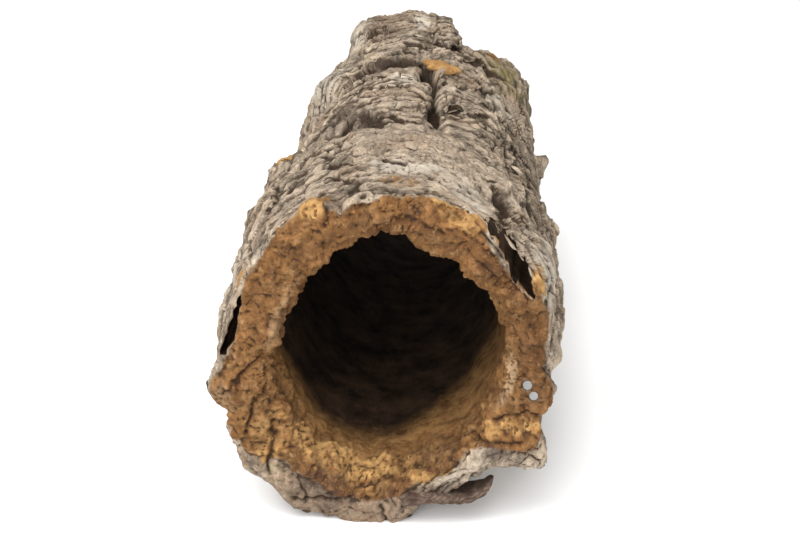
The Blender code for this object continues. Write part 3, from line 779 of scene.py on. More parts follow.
def groove_relief(angle, along):
    """Furrows along the bark: each is deepest on its line and closes over its half width."""
    total = 0.0
    for depth, half_width, line in GROOVES:
        alongs, angles = zip(*line)
        off = np.radians(turn_between(angle, np.interp(along, alongs, angles))) * BARK_RADIUS
        total = total - depth * fade(alongs, *GROOVE_FADE, along) * np.exp(-((off / half_width) ** 2))
    return total


def crack_relief(angle, along):
    """How deep each place lies in the cracks, and how dark it is there: both fall off from a crack's line as
    bell curves, at a distance made ragged by noise.
    """
    x = np.radians(turn_between(angle, 0)) * BARK_RADIUS
    ragged = rough_relief(angle, along, BARK_RADIUS, RAGGED_CRACKS) - CRACK_WIDENING
    deep, dark = 0.0, 0.0
    for depth, half_width, line in CRACKS:
        start = line[0][0]
        turns = [math.radians(turn_between(at, start) + start) for at, _ in line]
        places = [(turn * BARK_RADIUS, far) for turn, (_, far) in zip(turns, line)]
        off = np.maximum(line_distance(x, along, places) / half_width + ragged, 0)
        bell = np.exp(-(off ** 3))
        deep = np.maximum(deep, depth * bell)
        dark = np.maximum(dark, bell)
    return deep, dark


def layer_relief(angle, along):
    """Growth layers all over the bark: a saw-tooth along the tube, bent and broken up by noise."""
    bend, *size = LAYER_BEND
    phase = along / LAYER_LENGTH + bend * round_noise(angle, along, BARK_RADIUS, *size)
    tooth = np.mod(phase, 1)
    saw = tooth - smooth(LAYER_DROP_AT, 1.0, tooth)
    patchy = smooth(-0.25, 0.45, round_noise(angle, along, BARK_RADIUS, *LAYER_PATCHES))
    return LAYER_HEIGHT * (saw - LAYER_MEAN) * patchy * smooth(*LAYERS_START, along)


def bark_radius(angle, along):
    """The outer radius: the outline of the mouth turns into a tapered body, with the large relief on it. The
    other results are how far each place leans along the tube, and how dark it is there: painted shade in the
    seam under a step, or the dark of a crack.
    """
    body = BODY_RADIUS_MOUTH + (BODY_RADIUS_FAR - BODY_RADIUS_MOUTH) * along / LENGTH
    mouth = read_outline(MOUTH_RADII, angle)
    inwards = smooth(0, MOUTH_FADE, along)
    share = ROUGH_SHARE_AT_MOUTH + (1 - ROUGH_SHARE_AT_MOUTH) * inwards
    relief = share * rough_relief(angle, along, BARK_RADIUS, ROUGH_BARK) + lump_relief(angle, along)
    steps, lean, seam = ledge_relief(angle, along)
    deep, dark = crack_relief(angle, along)
    relief = relief + steps - SEAM_DEPTH * seam
    relief = relief + groove_relief(angle, along) + layer_relief(angle, along) - deep
    # Painted shade in the seam under each step, or the dark of a crack
    dark = np.maximum(SEAM_SHADE * seam, dark)
    return mouth + (body - mouth) * inwards + relief, lean * smooth(*LEAN_START, along), dark


def bore_radius(angle, along):
    """The inner radius: the outline of the bore at the mouth narrows to the middle and on to the far end."""
    mouth = read_outline(MOUTH_BORE_RADII, angle)
    share = smooth(0, BORE_FADE, along)
    body = BORE_RADIUS_MIDDLE + (BORE_RADIUS_FAR - BORE_RADIUS_MIDDLE) * smooth(BORE_FADE, LENGTH, along)
    return mouth + (body - mouth) * share + rough_relief(angle, along, BORE_RADIUS, ROUGH_BORE)


def place(angle, along, radius):
    """Points in millimetres from an angle, a distance from the mouth and a radius."""
    turn = np.radians(angle)
    height = AXIS_HEIGHT_MOUTH + (AXIS_HEIGHT_FAR - AXIS_HEIGHT_MOUTH) * along / LENGTH
    x = AXIS_X + radius * np.sin(turn)
    return np.stack((x, MOUTH_Y + along + 0 * x, height + radius * np.cos(turn)), axis=-1)


def columns(count, crowding):
    """Angles all round in degrees, as a column, closer together at the top of the tube by the crowding."""
    t = np.arange(count) / count
    return (360 * (t + crowding * np.sin(2 * math.pi * t) / (2 * math.pi)) - 180)[:, None]


def joint_line(angle, at):
    """Where one length of the skin runs into the next: a line round the tube that wanders by noise."""
    return at + line_noise(angle, 0 * angle + at, JOINT_WANDER)


class Strip:
    """Rows of the skin. Each grid point has its angle, along and radius, and how far over the lip it is in
    walls: 0 where the outside meets a rim, 1 where the rim meets the bore, and below or above that further
    on. It also has its lean along the tube, how dark it is from the painted shade of a seam or from a crack,
    and its depth into the bore.
    """

    def __init__(self, angle, along, radius, over, lean=0.0, seam=0.0, deep=0.0):
        values = (angle, along, radius, over, lean, seam, deep)
        shape = np.broadcast_shapes(*(np.shape(v) for v in values))
        self.values = [np.broadcast_to(v, shape).astype(float) for v in values]

    @classmethod
    def join(cls, strips):
        """Strips one after another, as one."""
        return cls(*(np.concatenate(parts, axis=1) for parts in zip(*(s.values for s in strips))))


def dive(along, near, far):
    """How deep the skin dives past a joint, so that the neighbouring length covers it."""
    down = 0.0
    if near is not None:
        down = down + DIVE * smooth(0, OVERLAP, near - along)
    if far is not None:
        down = down + DIVE * smooth(0, OVERLAP, along - far)
    return down


def outside_strip(angle, rows, near, far):
    """The outer skin of a length, in rows that run straight round, and bend to the far edge past the even
    part.
    """
    share = np.linspace(0, 1, rows)
    start = RIM_ROUND_OUTSIDE + 0 * angle if near is None else near - OVERLAP
    if far is None:
        stop = far_edge(angle) - FAR_ROUND
        even = EVEN_SHARE
        along = start + (EVEN_LENGTH - start) * np.minimum(share / even, 1)
        along = along + (stop - EVEN_LENGTH) * np.maximum(share - even, 0) / (1 - even)
        over = (along - stop) / WALL
    else:
        along = start + (far + OVERLAP - start) * share
        over = -along / WALL
    radius, lean, seam = bark_radius(angle, along)
    return Strip(angle, along, radius - dive(along, near, far), over, lean, seam)


def bore_strip(angle, rows, near, far):
    """The wall of the bore of a length, from its far end to its near end."""
    start = read_outline(LIP_ROUND, angle) if near is None else near - OVERLAP
    stop = far_edge(angle) - FAR_ROUND if far is None else far + OVERLAP
    along = start + (stop - start) * np.linspace(1, 0, rows)
    depth = stop - along if far is None else along
    radius = bore_radius(angle, along) + dive(along, near, far)
    return Strip(angle, along, radius, 1 + depth / WALL, deep=depth)


def rim_strip(first, last, edge, rows, share):
    """A torn rim from the last row of one strip to the first row of the next: two quarter ovals that meet on
    the rim's edge, at a share of the wall.
    """
    angle, start_along, start_radius, *_ = (v[:, -1:] for v in first.values)
    _, stop_along, stop_radius, *_ = (v[:, :1] for v in last.values)
    middle = start_radius + (stop_radius - start_radius) * share
    turn = np.linspace(0, math.pi / 2, rows + 1)[1:-1]
    back = turn[::-1]
    radius = np.concatenate((
        middle + (start_radius - middle) * np.cos(turn),
        middle,
        middle + (stop_radius - middle) * np.cos(back),
    ), axis=1)
    along = np.concatenate((
        start_along + (edge - start_along) * np.sin(turn),
        edge + 0 * middle,
        stop_along + (edge - stop_along) * np.sin(back),
    ), axis=1)
    height, size, seed = ROUGH_RIM
    along = along + height * round_noise(angle, along, radius, size, size, seed)
    outer = np.maximum(start_radius, stop_radius)
    over = (outer - radius) / np.abs(start_radius - stop_radius)
    return Strip(angle, along, radius, over)


def buried_strip(first, last, rows):
    """The hidden end of a length: straight through the wall from one strip to the next."""
    share = np.linspace(0, 1, rows + 2)[1:-1]
    return Strip(*(a[:, -1:] + (b[:, :1] - a[:, -1:]) * share for a, b in zip(first.values, last.values)))


def grid_normals(points):
    """Outward directions on a grid that joins up with itself both ways, from the differences of
    neighbours.
    """
    across = np.roll(points, -1, 0) - np.roll(points, 1, 0)
    ahead = np.roll(points, -1, 1) - np.roll(points, 1, 1)
    normals = np.cross(across, ahead)
    return normals / np.maximum(np.linalg.norm(normals, axis=-1, keepdims=True), 1e-9)


def hollowness(points, normals, reach):
    """How far the neighbours at a reach lie above each point, on average: above 0 in cracks, below on
    ridges.
    """
    around = sum(np.roll(points, step, axis) for axis in (0, 1) for step in (-reach, reach)) / 4
    return np.sum((around - points) * normals, axis=-1)


def line_distance(x, y, line):
    """The distance to a line of points, measured to its nearest stretch."""
    nearest = np.full(np.shape(x), 1e9)
    for (x0, y0), (x1, y1) in zip(line, line[1:]):
        dx, dy = x1 - x0, y1 - y0
        t = np.clip(((x - x0) * dx + (y - y0) * dy) / (dx * dx + dy * dy), 0, 1)
        nearest = np.minimum(nearest, np.hypot(x - x0 - t * dx, y - y0 - t * dy))
    return nearest


def rim_tears(angle, radius):
    """Torn lines and raised strips in the rim: the depth of each falls off from its line as a bell curve."""
    total = 0.0
    turn = np.radians(angle)
    x, z = radius * np.sin(turn), radius * np.cos(turn)
    ragged = 0.0
    for height, size, seed in RAGGED_TEARS:
        ragged = ragged + height * lattice_noise(x / size, z / size, 0 * x, seed)
    for depth, half_width, line in RIM_TEARS:
        places = [(far * math.sin(math.radians(a)), far * math.cos(math.radians(a))) for a, far in line]
        off = line_distance(x + ragged, z - ragged, places) / half_width
        total = total + depth * np.exp(-(off * off))
    return total


def patch_masks(angle, along, radius, rim):
    """How strong each kind of coloured patch is: ovals with edges made ragged by noise, less so on thin
    ones.
    """
    ragged = rough_relief(angle, along, radius, RAGGED_PATCHES)
    masks = {kind: 0.0 for kind in KINDS}
    for rows, second, share in ((RIM_PATCHES, radius, rim), (BARK_PATCHES, along, 1 - rim)):
        for kind, at, far, wide, long, strength in rows:
            across = turn_between(angle, at) / wide
            ahead = (second - far) / long
            ragged_edge = ragged * min(1.0, long / THIN_PATCH)
            inside = smooth(1.25, 0.65, np.sqrt(across * across + ahead * ahead) + ragged_edge)
            masks[kind] = np.maximum(masks[kind], strength * inside * share)
    return masks


def flow(angle, along):
    """A distance along the tube that stays the same along the arcs in the bark: these turn back towards the
    mouth at the sides of the collar and of each lobe.
    """
    turn = turn_between(angle, 0)
    bend, start, most = COLLAR_ARC
    collar = bend * np.clip(np.abs(turn) - start, 0, most)
    left, right = (share * np.clip(turn - middle, *limits) ** 2 for share, middle, *limits in LOBE_ARCS)
    beyond = smooth(LOBES_AT - 14, LOBES_AT + 6, along)
    return along + collar * (1 - beyond) + np.where(turn < BETWEEN_LOBES, left, right) * beyond


def terraces(height, step, riser, tilt):
    """A height cut into steps: flat or tilted treads with steep risers between them, and how near to the foot
    of a riser each place is.
    """
    level = height / step
    part = level - np.floor(level)
    up = smooth(1 - riser, 1, part)
    foot = np.exp(-(((part - 1 + FOOT_AT * riser) / (FOOT_WIDTH * riser)) ** 2))
    return step * (np.floor(level) + (1 - tilt) * up + tilt * part), foot


def bark_detail(points, arc, calm):
    """The fine relief of weathered bark, and how dark it is: thick plates and thin layers that end in ragged
    steps across the tube, fine ridges along the same arcs, cracks along and across, pits and grain. The
    darkness is that of the cracks, pits, flake edges and lines between the ridges, with painted shade at the
    foot of each step. Where the bark is calm it is crumbly instead of layered.
    """
    x, z = points[..., 0], points[..., 2]
    at = x, arc, z
    bend = spots(at, 17, 17, 71)
    slope = ARC_SLOPE * arc
    plates, plate_foot = terraces(rough_spots(at, PLATE_FORM) + slope, *PLATE_STEPS)
    plates = plates - slope
    layers, layer_foot = terraces(rough_spots(at, THIN_FORM) + slope, *THIN_STEPS)
    layers = layers - slope
    patchy = smooth(0.0, 0.35, spots(at, 25, 20, 77))
    _, border, number = cell_noise(x / 23 + 0.5 * bend, arc / 12 + 0.4 * bend, z / 23, 64)
    flakes = FLAKE_HEIGHT * (number - 0.5) * smooth(0.0, 0.10, border)
    edges = smooth(0.07, 0.02, border) * smooth(-0.2, 0.2, spots(at, 12, 12, 65))
    ridges = np.abs(lattice_noise(x / 24 + 0.4 * bend, arc / 3.6, z / 24, 91))
    ridged = smooth(0.1, 0.5, spots(at, 30, 24, 92))
    along_cracks = smooth(0.11, 0.02, np.abs(spots(at, 7, 30, 78) + 0.25 * bend))
    along_cracks = along_cracks * smooth(0.15, 0.5, spots(at, 19, 23, 80))
    across_cracks = smooth(0.09, 0.015, np.abs(spots(at, 34, 8, 79) + 0.15 * bend))
    across_cracks = across_cracks * smooth(-0.1, 0.3, spots(at, 23, 17, 86))
    near, _, number = cell_noise(x / 11, arc / 8, z / 11, 87)
    pits = smooth(0.24, 0.10, near) * (number > 0.8)
    layered = plates + patchy * layers + RIDGE_HEIGHT * ridged * ridges + flakes - FLAKE_EDGE_DEPTH * edges
    height = layered * (1 - 0.7 * calm) + rough_spots(at, CRUMBLY_BARK) * calm
    height = height + rough_spots(at, BARK_LUMPS) + rough_spots(at, BARK_GRAIN)
    cracks = ALONG_CRACK_DEPTH * along_cracks + ACROSS_CRACK_DEPTH * across_cracks
    height = height - (1 - 0.5 * calm) * cracks - BARK_PIT_DEPTH * pits
    # Painted shade at the feet of the risers
    dark = np.maximum(0.75 * plate_foot, 0.5 * layer_foot * patchy)
    dark = np.maximum(dark, np.maximum(0.6 * ridged * smooth(0.10, 0.02, ridges), 0.45 * edges))
    dark = np.maximum(np.maximum(dark, pits), np.maximum(0.7 * along_cracks, 0.9 * across_cracks))
    return height, dark * (1 - 0.55 * calm)


def cork_detail(points, angle, radius, rim):
    """The fine relief of torn cork, and how dark it is: soft lumps, creased folds, crumbly grain, pits in
    groups, and on the rim faint rings of growth round it and splits across them. The creases get painted
    shade, and the rings, pits and splits their own dark.
    """
    at = tuple(points[..., axis] for axis in range(3))
    x, y, z = at
    bend = spots(at, 13, 13, 81)
    folds = np.sqrt(lattice_noise(x / 4 + bend, y / 4, z / 4, 83) ** 2 + 0.004)
    rings = round_noise(angle, radius + 2.5 * bend, RIM_RADIUS, 11, 2.6, 69)
    near, _, number = cell_noise(x / 3.4, y / 3.4, z / 3.4, 85)
    pits = smooth(0.46, 0.14, near + 0.25 * bend) * (number > 0.8) * smooth(0.0, 0.35, spots(at, 12, 12, 67))
    splits = smooth(0.10, 0.0, np.abs(round_noise(angle, radius, RIM_RADIUS, 4, 15, 90)))
    splits = splits * smooth(0.1, 0.5, spots(at, 17, 17, 93))
    height = rough_spots(at, CORK_LUMPS) + FOLD_HEIGHT * folds + rough_spots(at, CRUMBLY_CORK)
    height = height - CORK_PIT_DEPTH * pits + (RING_HEIGHT * rings - SPLIT_DEPTH * splits) * rim
    # Painted shade in the creases of the folds, and dark growth rings on the rim
    crease = 0.38 * smooth(0.13, 0.06, folds) + 0.45 * smooth(-0.15, -0.55, rings) * rim
    return height, np.clip(crease + 0.22 * pits + 0.5 * splits * rim, 0, 1)


def skin(strip, bark_share):
    """Points in metres and masks for a length of the skin: its large form, moved along its own directions by
    the fine relief of bark, torn cork or bore, whichever lies there.
    """
    angle, along, radius, over, lean, seam, deep = strip.values
    base = place(angle, along, radius)
    normals = grid_normals(base)
    ragged = rough_relief(angle, along, radius, RAGGED_CORK)
    cork = smooth(-0.03, 0.03, over - bark_share + ragged)
    rim = smooth(-0.25, 0.0, over) * smooth(2.0, 1.2, over)
    in_bore = smooth(1.4, 2.8, over)
    calm_angle, calm_along, half_turn, half_length = CALM_AT
    across = turn_between(angle, calm_angle) / half_turn
    ahead = (along - calm_along) / half_length
    calm = smooth(1.3, 0.6, np.sqrt(across * across + ahead * ahead) + 6 * ragged)
    calm = np.maximum(calm, 0.65 * rim)
    arc = flow(angle, along)
    bark, cracks = bark_detail(base, arc, calm)
    torn, creases = cork_detail(base, angle, radius, rim)
    ribs = rough_spots(tuple(base[..., axis] for axis in range(3)), BORE_RIBS)
    tears = rim_tears(angle, radius) * rim
    detail = bark * (1 - cork) + torn * cork * (1 - in_bore) + ribs * in_bore - tears
    points = place(angle, along + lean, radius) + normals * detail[..., None]
    points[..., 2] = np.maximum(points[..., 2], GROUND_CLEARANCE)
    normals = grid_normals(points)
    masks = patch_masks(angle, along, radius, rim)
    masks["flow"] = arc * MM
    masks["cork"] = cork
    # The seam mask: the dark of cracks, pits, splits and tears, with painted shade in the seams under the
    # ledges, at the feet of the steps and in the creases of the folds
    dark = np.maximum(seam, cracks) * (1 - cork) + creases * cork * (1 - in_bore)
    masks["seam"] = np.clip(dark + TEAR_DARKNESS * tears, 0, 1)
    # The bore's painted light and shade: 0 outside and at the open ends, a half where the painted light ends,
    # and up to 1 deeper in
    masks["inside"] = np.clip(deep / read_outline(LIT_DEPTH, angle) + 0.6 * ragged, 0, 2) / 2
    # The hollowness of the mesh, from which the finish paints shade in the hollows and highlight on the ridges
    hollow = hollowness(points, normals, 1) / (0.35 + 0.3 * cork) + hollowness(points, normals, 3) / 1.2
    masks["hollow"] = np.clip(0.5 + 0.35 * hollow, 0, 1)
    return points * MM, masks


def grid_faces(across, along):
    """Faces of a grid that joins up with itself both ways."""
    first = np.arange(across * along).reshape(across, along)
    beside = np.roll(first, -1, 0)
    return np.stack((first, beside, np.roll(beside, -1, 1), np.roll(first, -1, 1)), -1).reshape(-1, 4)


def capped_faces(bodies, rings, spokes):
    """Faces of closed bodies, each a stack of rings with a pole at either end, whose two points come last."""
    each = rings * spokes + 2
    first = np.arange(rings * spokes).reshape(rings, spokes)
    beside = np.roll(first, -1, 1)
    sides = np.stack((first[:-1], beside[:-1], beside[1:], first[1:]), -1).reshape(-1, 4)
    low = np.stack((beside[0], first[0], 0 * first[0] + each - 2), -1)
    high = np.stack((first[-1], beside[-1], 0 * first[-1] + each - 1), -1)
    ends = np.concatenate((low, high))
    start = each * np.arange(bodies)[:, None, None]
    return [(faces[None] + start).reshape(-1, faces.shape[1]) for faces in (sides, ends)]


def capped_points(rings):
    """The points of stacks of rings, with a pole in the middle of the first and of the last ring put last."""
    bodies = rings.shape[0]
    poles = [rings[:, end].mean(axis=1)[:, None] for end in (0, -1)]
    return np.concatenate((rings.reshape(bodies, -1, 3), *poles), axis=1)


def volume(points, faces):
    """Six times the volume inside closed faces: the sum over their fans of corner products."""
    corners = points[faces]
    turns = range(1, faces.shape[1] - 1)
    return sum(np.sum(corners[:, 0] * np.cross(corners[:, i], corners[:, i + 1])) for i in turns)


def mesh_object(name, points, face_groups, masks, finish):
    """An object at the origin from points and groups of faces, turned to face outwards, with a value per
    point for each mask, shaded smooth, that rides on the tube's body.
    """
    flat = points.reshape(-1, 3)
    if sum(volume(flat, faces) for faces in face_groups) < 0:
        face_groups = [faces[:, ::-1] for faces in face_groups]
    sizes = np.concatenate([np.full(len(faces), faces.shape[1]) for faces in face_groups])
    corners = np.concatenate([faces.ravel() for faces in face_groups])
    mesh = bpy.data.meshes.new(name)
    mesh.vertices.add(len(flat))
    mesh.vertices.foreach_set("co", flat.astype(np.float32).ravel())
    mesh.loops.add(len(corners))
    mesh.loops.foreach_set("vertex_index", corners.astype(np.int32))
    mesh.polygons.add(len(sizes))
    mesh.polygons.foreach_set("loop_start", (np.cumsum(sizes) - sizes).astype(np.int32))
    mesh.update(calc_edges=True)
    mesh.shade_smooth()
    for mask in MASKS:
        layer = mesh.attributes.new(mask, "FLOAT", "POINT")
        values = np.broadcast_to(masks.get(mask, 0.0), points.shape[:-1])
        layer.data.foreach_set("value", values.astype(np.float32).ravel())
    mesh.materials.append(finish)
    made = bpy.data.objects.new(name, mesh)
    bpy.context.scene.collection.objects.link(made)
    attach(made, BODY)
    return made


def make_length(name, count, crowding, rows, near_at, far_at, finish):
    """One length of the tube as a closed skin: outside, far end, bore and near end, back to the outside."""
    outside_rows, bore_rows, end_rows = rows
    angle = columns(count, crowding)
    near = None if near_at is None else joint_line(angle, near_at)
    far = None if far_at is None else joint_line(angle, far_at)
    outside = outside_strip(angle, outside_rows, near, far)
    bore = bore_strip(angle, bore_rows, near, far)
    if far_at is None:
        far_end = rim_strip(outside, bore, far_edge(angle), end_rows, FAR_RIM_MIDDLE)
    else:
        far_end = buried_strip(outside, bore, BURIED_ROWS)
    if near_at is None:
        start = line_noise(angle, 0 * angle, RAGGED_MOUTH)
        near_end = rim_strip(bore, outside, start, end_rows, MOUTH_RIM_MIDDLE)
        bark_share = read_outline(BARK_OVER_RIM, angle)
    else:
        near_end = buried_strip(bore, outside, BURIED_ROWS)
        bark_share = BARK_OVER_FAR_RIM
    points, masks = skin(Strip.join((outside, far_end, bore, near_end)), bark_share)
    made = mesh_object(name, points, [grid_faces(*points.shape[:2])], masks, finish)
    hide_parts(NODE)
    return made


def slab_rings(rows, steps, spokes, roughness, seed):
    """Rings along a curved slab: at each of the steps between its rows a rounded box, as thick as the row
    says across the round of the tube, thinner on its far side, and as long along it, made uneven by noise.
    """
    at = np.linspace(0, len(rows) - 1, steps)
    low = np.clip(np.floor(at).astype(int), 0, len(rows) - 2)
    t = at - low
    t = t + SLAB_EASE * (t * t * (3 - 2 * t) - t)
    table = np.array(rows, dtype=float)
    angle, radius, half, near, far = (table[low] + (table[low + 1] - table[low]) * t[:, None]).T[..., None]
    spoke = 2 * math.pi * np.arange(spokes) / spokes
    outwards, ahead = (np.sign(v) * np.abs(v) ** SLAB_SQUARENESS for v in (np.cos(spoke), np.sin(spoke)))
    taper = 1 + (SLAB_TAPER - 1) * (1 + ahead) / 2
    points = place(angle, (near + far) / 2 + (far - near) / 2 * ahead, radius + half * taper * outwards)
    x, y, z = (points[..., axis] / SLAB_BUMP for axis in range(3))
    fine = 0.5 * roughness * lattice_noise(2.2 * x, 2.2 * y, 2.2 * z, seed)
    uneven = roughness * lattice_noise(x, y, z, seed) + fine
    middle = points.mean(axis=1, keepdims=True)
    away = (points - middle) / np.maximum(np.linalg.norm(points - middle, axis=-1, keepdims=True), 1e-9)
    return points + away * uneven[..., None]


def hole_rings(angle, radius, width):
    """Rings of a rod along the slope of an insect hole, wider at its mouth."""
    slope = np.array(HOLE_SLOPE)
    middle = place(np.array(angle), np.array(0.0), np.array(radius))
    steps = np.linspace(*HOLE_SPAN, HOLE_STEPS)[:, None, None]
    spoke = (2 * math.pi * np.arange(HOLE_SPOKES) / HOLE_SPOKES)[None, :, None]
    side = np.cross(slope, (1, 0, 0))
    side = side / np.linalg.norm(side)
    other = np.cross(slope, side) / np.linalg.norm(slope)
    flare = 1 + HOLE_FLARE * np.exp(-((steps * HOLE_LENGTH / HOLE_FLARE_DEPTH) ** 2))
    outwards = np.cos(spoke) * side + np.sin(spoke) * other
    return middle + slope * HOLE_LENGTH * steps + width / 2 * flare * outwards


def make_cutter(finish):
    """One mesh of everything that is cut from the mouth: the crevice, the gaps behind the outer flake and the
    curled one, and the insect holes. Its masks paint the walls of the cuts with shade, as dark as deep in the
    bore.
    """
    slabs = ((CREVICE, 2.0, 95), (FLAKE_GAP, 1.3, 96), (CURL_GAP, 0.8, 60))
    stacks = [slab_rings(rows, CUT_STEPS, CUT_SPOKES, *rest)[None] for rows, *rest in slabs]
    stacks += [hole_rings(*hole)[None] for hole in INSECT_HOLES]
    points, groups = [], []
    start = 0
    for rings in stacks:
        faces = capped_faces(*rings.shape[:3])
        flat = capped_points(rings).reshape(-1, 3)
        if sum(volume(flat, group) for group in faces) < 0:
            faces = [group[:, ::-1] for group in faces]
        groups += [group + start for group in faces]
        points.append(flat)
        start += len(flat)
    # Painted shade on the walls of the cuts
    masks = {"cork": 1.0, "hollow": 0.9, "dark": 1.0, "inside": 1.0}
    return mesh_object("cutter", np.concatenate(points) * MM, groups, masks, finish)


def cut(made, cutter):
    """Takes the cutter out of a piece and removes it."""
    step = made.modifiers.new("cut", "BOOLEAN")
    step.operation = "DIFFERENCE"
    step.solver = "MANIFOLD"
    step.object = cutter
    graph = bpy.context.evaluated_depsgraph_get()
    whole = made.data
    result = bpy.data.meshes.new_from_object(
        made.evaluated_get(graph), preserve_all_data_layers=True, depsgraph=graph
    )
    if len(result.polygons) <= len(whole.polygons) // 2:
        raise RuntimeError(f"{made.name}: the cut left only {len(result.polygons)} faces")
    made.modifiers.clear()
    made.data = result
    result.name = made.name
    bpy.data.meshes.remove(whole)
    bpy.data.objects.remove(cutter, do_unlink=True)


def lenses(centre, across, ahead, up, size, outline, rings, spokes, bulge, bend, seed):
    """Closed lens-shaped bodies. Each is a stack of rings round its upright axis: a ring's radius is the
    sine of its angle to a power, which fills the lens out, and its height the cosine. The outline wanders by
    noise, and the lens bends down with the square of the distance across.
    """
    ring = np.linspace(0, math.pi, rings + 2)[1:-1][None, :, None]
    spoke = (2 * math.pi * np.arange(spokes) / spokes)[None, None, :]
    number = np.arange(len(centre))[:, None, None]
    wander = 1 + outline * lattice_noise(
        1.3 * np.cos(spoke) + 5.37 * number, 1.3 * np.sin(spoke) + 0 * number, 0.6 * np.cos(ring), seed
    )
    far = np.sin(ring) ** bulge * wander
    x, y = (far * turn * size[:, axis, None, None] for axis, turn in ((0, np.cos(spoke)), (1, np.sin(spoke))))
    z = np.cos(ring) * size[:, 2, None, None] - bend * x * x
    axes = [v[:, None, None, :] for v in (across, ahead, up)]
    return centre[:, None, None, :] + sum(v[..., None] * axis for v, axis in zip((x, y, z), axes))


def bark_frame(angle, along):
    """The place and three directions on the bark: across the tube, ahead along it, and outwards, from the
    differences of the large form over a few millimetres.
    """
    step = 3.0
    turn = math.degrees(step / BARK_RADIUS)
    at = place(angle, along, bark_radius(angle, along)[0])
    across = place(angle + turn, along, bark_radius(angle + turn, along)[0]) - at
    ahead = place(angle, along + step, bark_radius(angle, along + step)[0]) - at
    up = np.cross(across, ahead)
    across, up = (v / np.linalg.norm(v, axis=-1, keepdims=True) for v in (across, up))
    return at, across, np.cross(up, across), up


def make_chips(count, finish):
    """Loose chips of bark on the outside: thin lenses that lie on the bark with their far edge lifted."""
    draw = np.random.default_rng(CHIP_SEED)
    angle = draw.uniform(*CHIP_ANGLES, count)
    along = 14 + (far_edge(angle) - 30) * draw.random(count)
    at, across, ahead, up = bark_frame(angle, along)
    tilt = np.radians(draw.uniform(*CHIP_TILTS, count))[:, None]
    turn = draw.normal(0, 0.35, count)[:, None]
    across, ahead = across * np.cos(turn) + ahead * np.sin(turn), ahead * np.cos(turn) - across * np.sin(turn)
    ahead, up = ahead * np.cos(tilt) + up * np.sin(tilt), up * np.cos(tilt) - ahead * np.sin(tilt)
    size = np.stack([draw.uniform(*ends, count) for ends in CHIP_SIZES], 1)
    rings = lenses(
        at + up * CHIP_LIFT, across, ahead, up, size,
        outline=0.45, rings=5, spokes=16, bulge=0.55, bend=0.5 / BARK_RADIUS, seed=97,
    )
    points = capped_points(rings)
    shade = draw.uniform(0.25, 0.55, count)[:, None] + 0 * points[..., 0]
    masks = {"hollow": shade, "pale": draw.uniform(0, 0.25, count)[:, None] + 0 * shade}
    return mesh_object("bark_chips", points * MM, capped_faces(*rings.shape[:3]), masks, finish)


def make_fresh_piece(name, at, across, up, size, fresh, finish):
    """A piece of fresh cork that stands out: a filled-out lens with an uneven outline."""
    at = place(*(np.array([v]) for v in at))
    across, up = (np.array([v]) / np.linalg.norm(v) for v in (across, up))
    rings = lenses(
        at, across, np.cross(up, across), up, np.array([size]),
        outline=0.5, rings=12, spokes=60, bulge=0.8, bend=0.004, seed=59,
    )
    points = capped_points(rings)
    x, y, z = (points[..., axis] / FRESH_BUMP for axis in range(3))
    uneven = lattice_noise(x, y, z, 53) + 0.5 * lattice_noise(2.3 * x, 2.3 * y, 2.3 * z, 54)
    points = points + uneven[..., None] * up
    masks = {"cork": 1.0, "fresh": fresh, "hollow": 0.5}
    return mesh_object(name, points * MM, capped_faces(*rings.shape[:3]), masks, finish)


def make_crumbs(count, finish):
    """Crumbs of cork in the torn rim: small lenses half sunk at places drawn from the mouth's own mesh."""
    mesh = bpy.data.objects[MOUTH].data
    points, normals = (np.empty(3 * len(mesh.vertices), np.float32) for _ in range(2))
    mesh.vertices.foreach_get("co", points)
    mesh.vertices.foreach_get("normal", normals)
    cork, hollow = (np.empty(len(mesh.vertices), np.float32) for _ in range(2))
    mesh.attributes["cork"].data.foreach_get("value", cork)
    mesh.attributes["hollow"].data.foreach_get("value", hollow)
    points, normals = points.reshape(-1, 3) / MM, normals.reshape(-1, 3)
    front = (normals[:, 1] < -0.35) & (cork > 0.7) & (points[:, 1] < MOUTH_Y + CRUMB_DEPTH)
    draw = np.random.default_rng(CRUMB_SEED)
    chosen = draw.choice(np.flatnonzero(front), count, replace=False)
    up = normals[chosen]
    across = np.cross(up, draw.normal(size=(count, 3)))
    across = across / np.linalg.norm(across, axis=1, keepdims=True)
    largest = draw.uniform(*CRUMB_SIZES, count)
    long = draw.uniform(*CRUMB_LENGTHS, count)
    thick = draw.uniform(*CRUMB_THICKNESSES, count)
    size = largest[:, None] * np.stack((np.ones(count), long, thick), 1)
    rings = lenses(
        points[chosen], across, np.cross(up, across), up, size,
        outline=0.4, rings=4, spokes=8, bulge=1.0, bend=0.0, seed=98,
    )
    points = capped_points(rings)
    shade = draw.uniform(0.35, 0.6, count)[:, None] + 0 * points[..., 0]
    masks = {"cork": 1.0, "hollow": shade, "seam": 0.35 * draw.random(count)[:, None] + 0 * shade}
    return mesh_object("cork_crumbs", points * MM, capped_faces(*rings.shape[:3]), masks, finish)


